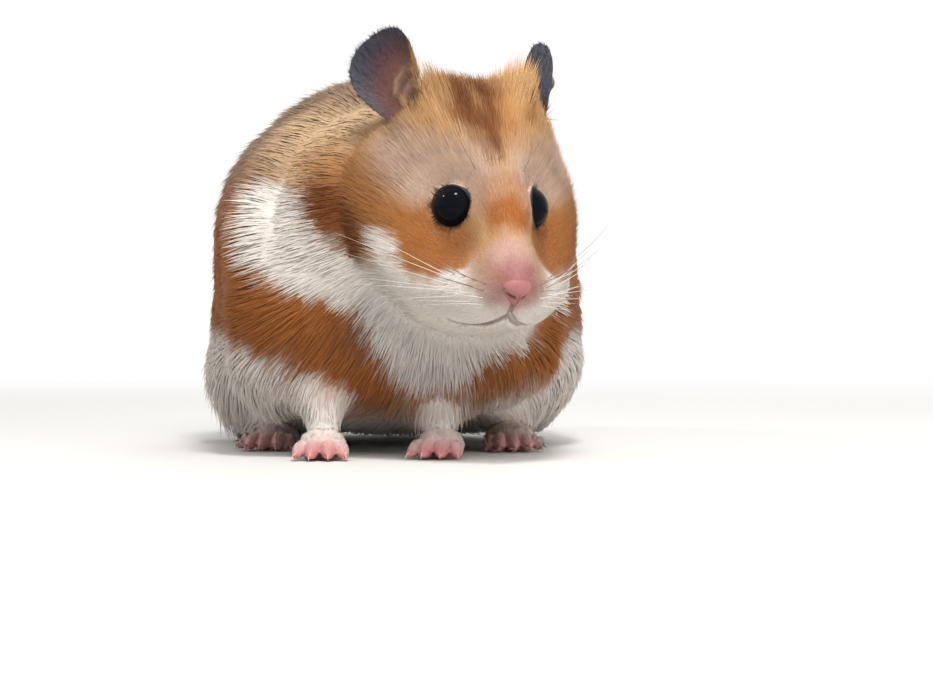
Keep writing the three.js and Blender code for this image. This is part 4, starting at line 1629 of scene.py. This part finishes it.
class HAMSTER_OT_whiskers(bpy.types.Operator):
    """Grows the whiskers beside the nose and over the eyes"""

    bl_idname = "hamster.whiskers"
    bl_label = "Whiskers"

    ROWS, COLUMNS = 4, 4
    BROW_ROOT, BROW_AIM, BROW_LENGTH = (5.4, -2.8, 7.6), (0.5, 0.3, 0.8), 6
    STEPS = 9  # points along each hair
    PALE_GIRTH, DARK_GIRTH = 0.06, 0.045
    TAPER = 0.82
    BEND = np.array([-0.1, 0.36, -0.14])

    def execute(self, context):
        tree = search_tree(bpy.data.objects["skin"].data)
        draw = np.random.default_rng(settings("coat").seed)
        paths = []
        for sign in SIDES.values():
            for row in range(self.ROWS):
                for column in range(self.COLUMNS):
                    root = (4.6 + 1.35 * column, -15.8 + 1.5 * column, -5.6 - 1.15 * row)
                    aim = (0.85, 0.1 + 0.16 * column, 0.34 - 0.17 * row - 0.02 * column)
                    length = (10 + 3 * column) * (1.05 - 0.08 * row)
                    dark = row == 0 or (row == 1 and column < 2)
                    self.grow(paths, tree, draw, sign, root, aim, length, dark)
            brow = (self.BROW_ROOT, self.BROW_AIM, self.BROW_LENGTH)
            self.grow(paths, tree, draw, sign, *brow, True)
        grown = strands("whiskers", paths, strand_tree(strand_material("hamster_whisker", 0.35)))
        return {"FINISHED"}

    def grow(self, paths, tree, draw, sign, root, aim, length, dark):
        """Adds one hair that starts on the skin nearest to its root."""
        colours = settings("colours")
        start = np.array(tree.find_nearest(Vector(head.world(np.multiply(root, (sign, 1, 1)))))[0])
        aim = unit(np.array(aim) + draw.normal(0, 0.07, 3)) * (sign, 1, 1)
        bend = (self.BEND + draw.normal(0, 0.05, 3)) * (sign, 1, 1)
        length = length * draw.uniform(0.8, 1.15) * MM
        along = np.linspace(0, 1, self.STEPS)[:, None]
        points = start + length * head.direction(aim * along + bend * along**2)
        girth = self.DARK_GIRTH if dark else self.PALE_GIRTH
        girths = girth * MM * (1 - along[:, 0] * self.TAPER)
        paths.append((points, girths, colours.ticking_and_shade if dark else colours.white))


class HAMSTER_OT_claws(bpy.types.Operator):
    """Sets a small claw on each toe"""

    bl_idname = "hamster.claws"
    bl_label = "Claws"

    TOES = {"forepaw": 4, "hindpaw": 5}
    APART = 1.5 * MM  # toes stand at least this far apart
    HEIGHT = 1.1 * MM
    INSIDE = 0.6  # how far a claw starts inside its toe, in millimetres
    LENGTH, DROP, GIRTH = 1.5 * MM, 0.8 * MM, 0.24 * MM

    def execute(self, context):
        paths = []
        for paw in PAWS:
            points = vertices_of(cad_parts[paw].data)
            tips = []
            for point in points[np.argsort(points[:, 1])]:
                if all(abs(point[0] - tip[0]) > self.APART for tip in tips):
                    tips.append(point)
                if len(tips) == self.TOES[paw.split("_")[0]]:
                    break
            for tip in tips:
                aim = unit((tip - centre(paw)) * (0.35, 1, 0))
                along = np.linspace(0, 1, 5)[:, None]
                start = tip - aim * self.INSIDE * MM
                start[2] = self.HEIGHT
                reach = self.LENGTH * aim * along
                drop = np.array([0, 0, -self.DROP]) * along**2.2
                girths = self.GIRTH * (1 - 0.85 * along[:, 0])
                paths.append((start + reach + drop, girths, settings("colours").horn))
        made = strands("claws", paths, strand_tree(strand_material("hamster_claw", 0.25)))
        return {"FINISHED"}


class HAMSTER_OT_thin_skin(bpy.types.Operator):
    """Thins the skin's mesh under the coat and leaves its bare parts as fine as they are"""

    bl_idname = "hamster.thin_skin"
    bl_label = "Thin Skin"

    HAIRED = 1  # tufts in a square millimetre from which the skin counts as covered

    def execute(self, context):
        skin = bpy.data.objects["skin"]
        density = np.empty(len(skin.data.vertices))
        skin.data.attributes["coat_density"].data.foreach_get("value", density)
        haired = skin.vertex_groups.new(name="haired")
        haired.add(np.flatnonzero(density * MM**2 > self.HAIRED).tolist(), 1, "REPLACE")
        thin = skin.modifiers.new("Thin", "DECIMATE")
        thin.ratio = settings("skin").kept
        thin.vertex_group = haired.name
        finished(skin, skin.name)
        skin.vertex_groups.clear()
        skin.data.uv_layers.remove(skin.data.uv_layers["unwrap"])
        unwrap(skin)
        return {"FINISHED"}


# ---- stage ------------------------------------------------------------------


def look_at(made, target):
    aim = Vector(target) - made.location
    made.rotation_euler = aim.to_track_quat("-Z", "Y").to_euler()


class HAMSTER_OT_stage(bpy.types.Operator):
    """Sets the camera, the lights and the floor"""

    bl_idname = "hamster.stage"
    bl_label = "Stage"

    SENSOR, LENS = 36, 93.84
    CAMERA_ASIDE, CAMERA_BEFORE, CAMERA_HEIGHT = 12.86 * MM, 361.74 * MM, 24 * MM
    CAMERA_TILT = math.radians(89)
    AIM = (0, 0, 0.03)
    FLOOR_RADIUS = 3
    FLOOR_FADE = {1: 0.12, 2: 0.42}  # metres from the middle where it turns white

    def execute(self, context):
        scene = bpy.context.scene
        stage = settings("stage")
        scene.view_settings.view_transform = "Standard"
        self.set_camera(scene)
        self.set_lights(scene, stage)
        self.lay_floor(stage)
        return {"FINISHED"}

    def set_camera(self, scene):
        low, high = SOLID_BOX
        middle = (low + high) / 2
        data = bpy.data.cameras.new("camera")
        data.sensor_width = self.SENSOR
        data.lens = self.LENS
        camera = new_object("camera", data)
        camera.location = (
            middle.x + self.CAMERA_ASIDE,
            low.y - self.CAMERA_BEFORE,
            self.CAMERA_HEIGHT,
        )
        camera.rotation_euler = (self.CAMERA_TILT, 0, 0)
        scene.camera = camera

    def set_lights(self, scene, stage):
        for name, spot, size, power in (
            ("key", (0.06, -0.42, 0.44), 0.34, stage.key),
            ("fill", (0.42, -0.34, 0.2), 0.4, stage.fill),
            ("rim", (0.1, 0.4, 0.4), 0.3, stage.rim),
            ("sparkle_high", (0.05, -0.25, 0.5), 0.1, stage.sparkle),
            ("sparkle_low", (-0.38, -0.1, 0.4), 0.06, stage.sparkle / 4),
        ):
            lamp = bpy.data.lights.new(name, "AREA")
            lamp.shape = "DISK"
            lamp.size = size
            lamp.energy = power
            made = new_object(name, lamp)
            made.location = spot
            made.visible_glossy = "sparkle" in name
            look_at(made, self.AIM)

        world = bpy.data.worlds.new("studio")
        scene.world = world
        world.use_nodes = True
        world.node_tree.nodes.clear()
        t = Tree(world.node_tree)
        light = t.node("ShaderNodeBackground", {"Color": (1, 1, 1, 1), "Strength": stage.sky})
        white = t.node("ShaderNodeBackground", {"Color": (1, 1, 1, 1), "Strength": 1.0})
        rays = t.node("ShaderNodeLightPath").outputs
        seen = rays["Is Camera Ray"]
        for kind in ("Is Glossy Ray", "Is Transmission Ray"):
            seen = t.node("ShaderNodeMath", {0: seen, 1: rays[kind]}, operation="MAXIMUM")
        both = t.node("ShaderNodeMixShader", {0: seen, 1: light, 2: white})
        t.node("ShaderNodeOutputWorld", {0: both})

    def lay_floor(self, stage):
        """A disc that turns white towards its edge for the camera alone."""
        finish = {"Base Color": (*stage.floor, 1), "Roughness": 0.7}
        material, t, surface = new_material("studio_floor", finish)
        glow = t.node("ShaderNodeEmission", {"Color": (1, 1, 1, 1), "Strength": 1.0})
        place = t.node("ShaderNodeTexCoord").outputs["Object"]
        far = t.node("ShaderNodeVectorMath", {0: place}, operation="LENGTH").outputs["Value"]
        fade = t.node(
            "ShaderNodeMapRange",
            {0: far, **self.FLOOR_FADE},
            interpolation_type="SMOOTHSTEP",
        )
        seen = t.node("ShaderNodeLightPath").outputs["Is Camera Ray"]
        seen = t.node("ShaderNodeMath", {0: seen, 1: fade}, operation="MULTIPLY")
        both = t.node("ShaderNodeMixShader", {0: seen, 1: surface, 2: glow})
        out = next(n for n in t.tree.nodes if n.type == "OUTPUT_MATERIAL")
        t.feed(out.inputs[0], both)
        shape = bmesh.new()
        bmesh.ops.create_circle(shape, cap_ends=True, segments=96, radius=self.FLOOR_RADIUS)
        floor = object_from(shape, "floor")
        floor.data.materials.append(material)


class HAMSTER_PT_panel(bpy.types.Panel):
    """Lists the pieces and their settings"""

    bl_idname = "HAMSTER_PT_panel"
    bl_label = "Syrian Hamster"
    bl_space_type = "VIEW_3D"
    bl_region_type = "UI"
    bl_category = "Hamster"

    def draw(self, context):
        for operator in OPERATORS:
            self.layout.operator(operator.bl_idname)
        for name in GROUPS:
            box = self.layout.box()
            box.label(text=name.title())
            group = settings(name)
            for item in group.bl_rna.properties:
                if item.identifier not in ("rna_type", "name"):
                    box.prop(group, item.identifier)


GROUPS = {
    "skin": HamsterSkin,
    "coat": HamsterCoat,
    "colours": HamsterColours,
    "stage": HamsterStage,
}
OPERATORS = [
    HAMSTER_OT_stage,
    HAMSTER_OT_skin,
    HAMSTER_OT_coat,
    HAMSTER_OT_eyes,
    HAMSTER_OT_nose,
    HAMSTER_OT_whiskers,
    HAMSTER_OT_claws,
    HAMSTER_OT_thin_skin,
]


def register():
    for made in [*GROUPS.values(), *OPERATORS, HAMSTER_PT_panel]:
        bpy.utils.register_class(made)
    for name, group in GROUPS.items():
        setattr(bpy.types.Scene, f"hamster_{name}", PointerProperty(type=group))


def unregister():
    for name in GROUPS:
        delattr(bpy.types.Scene, f"hamster_{name}")
    for made in reversed([*GROUPS.values(), *OPERATORS, HAMSTER_PT_panel]):
        bpy.utils.unregister_class(made)


def run(operator):
    """Calls one of the operators by its own name."""
    group, name = operator.bl_idname.split(".")
    getattr(getattr(bpy.ops, group), name)()


def main():
    register()
    for operator in OPERATORS:
        run(operator)


if __name__ == "__main__":
    main()
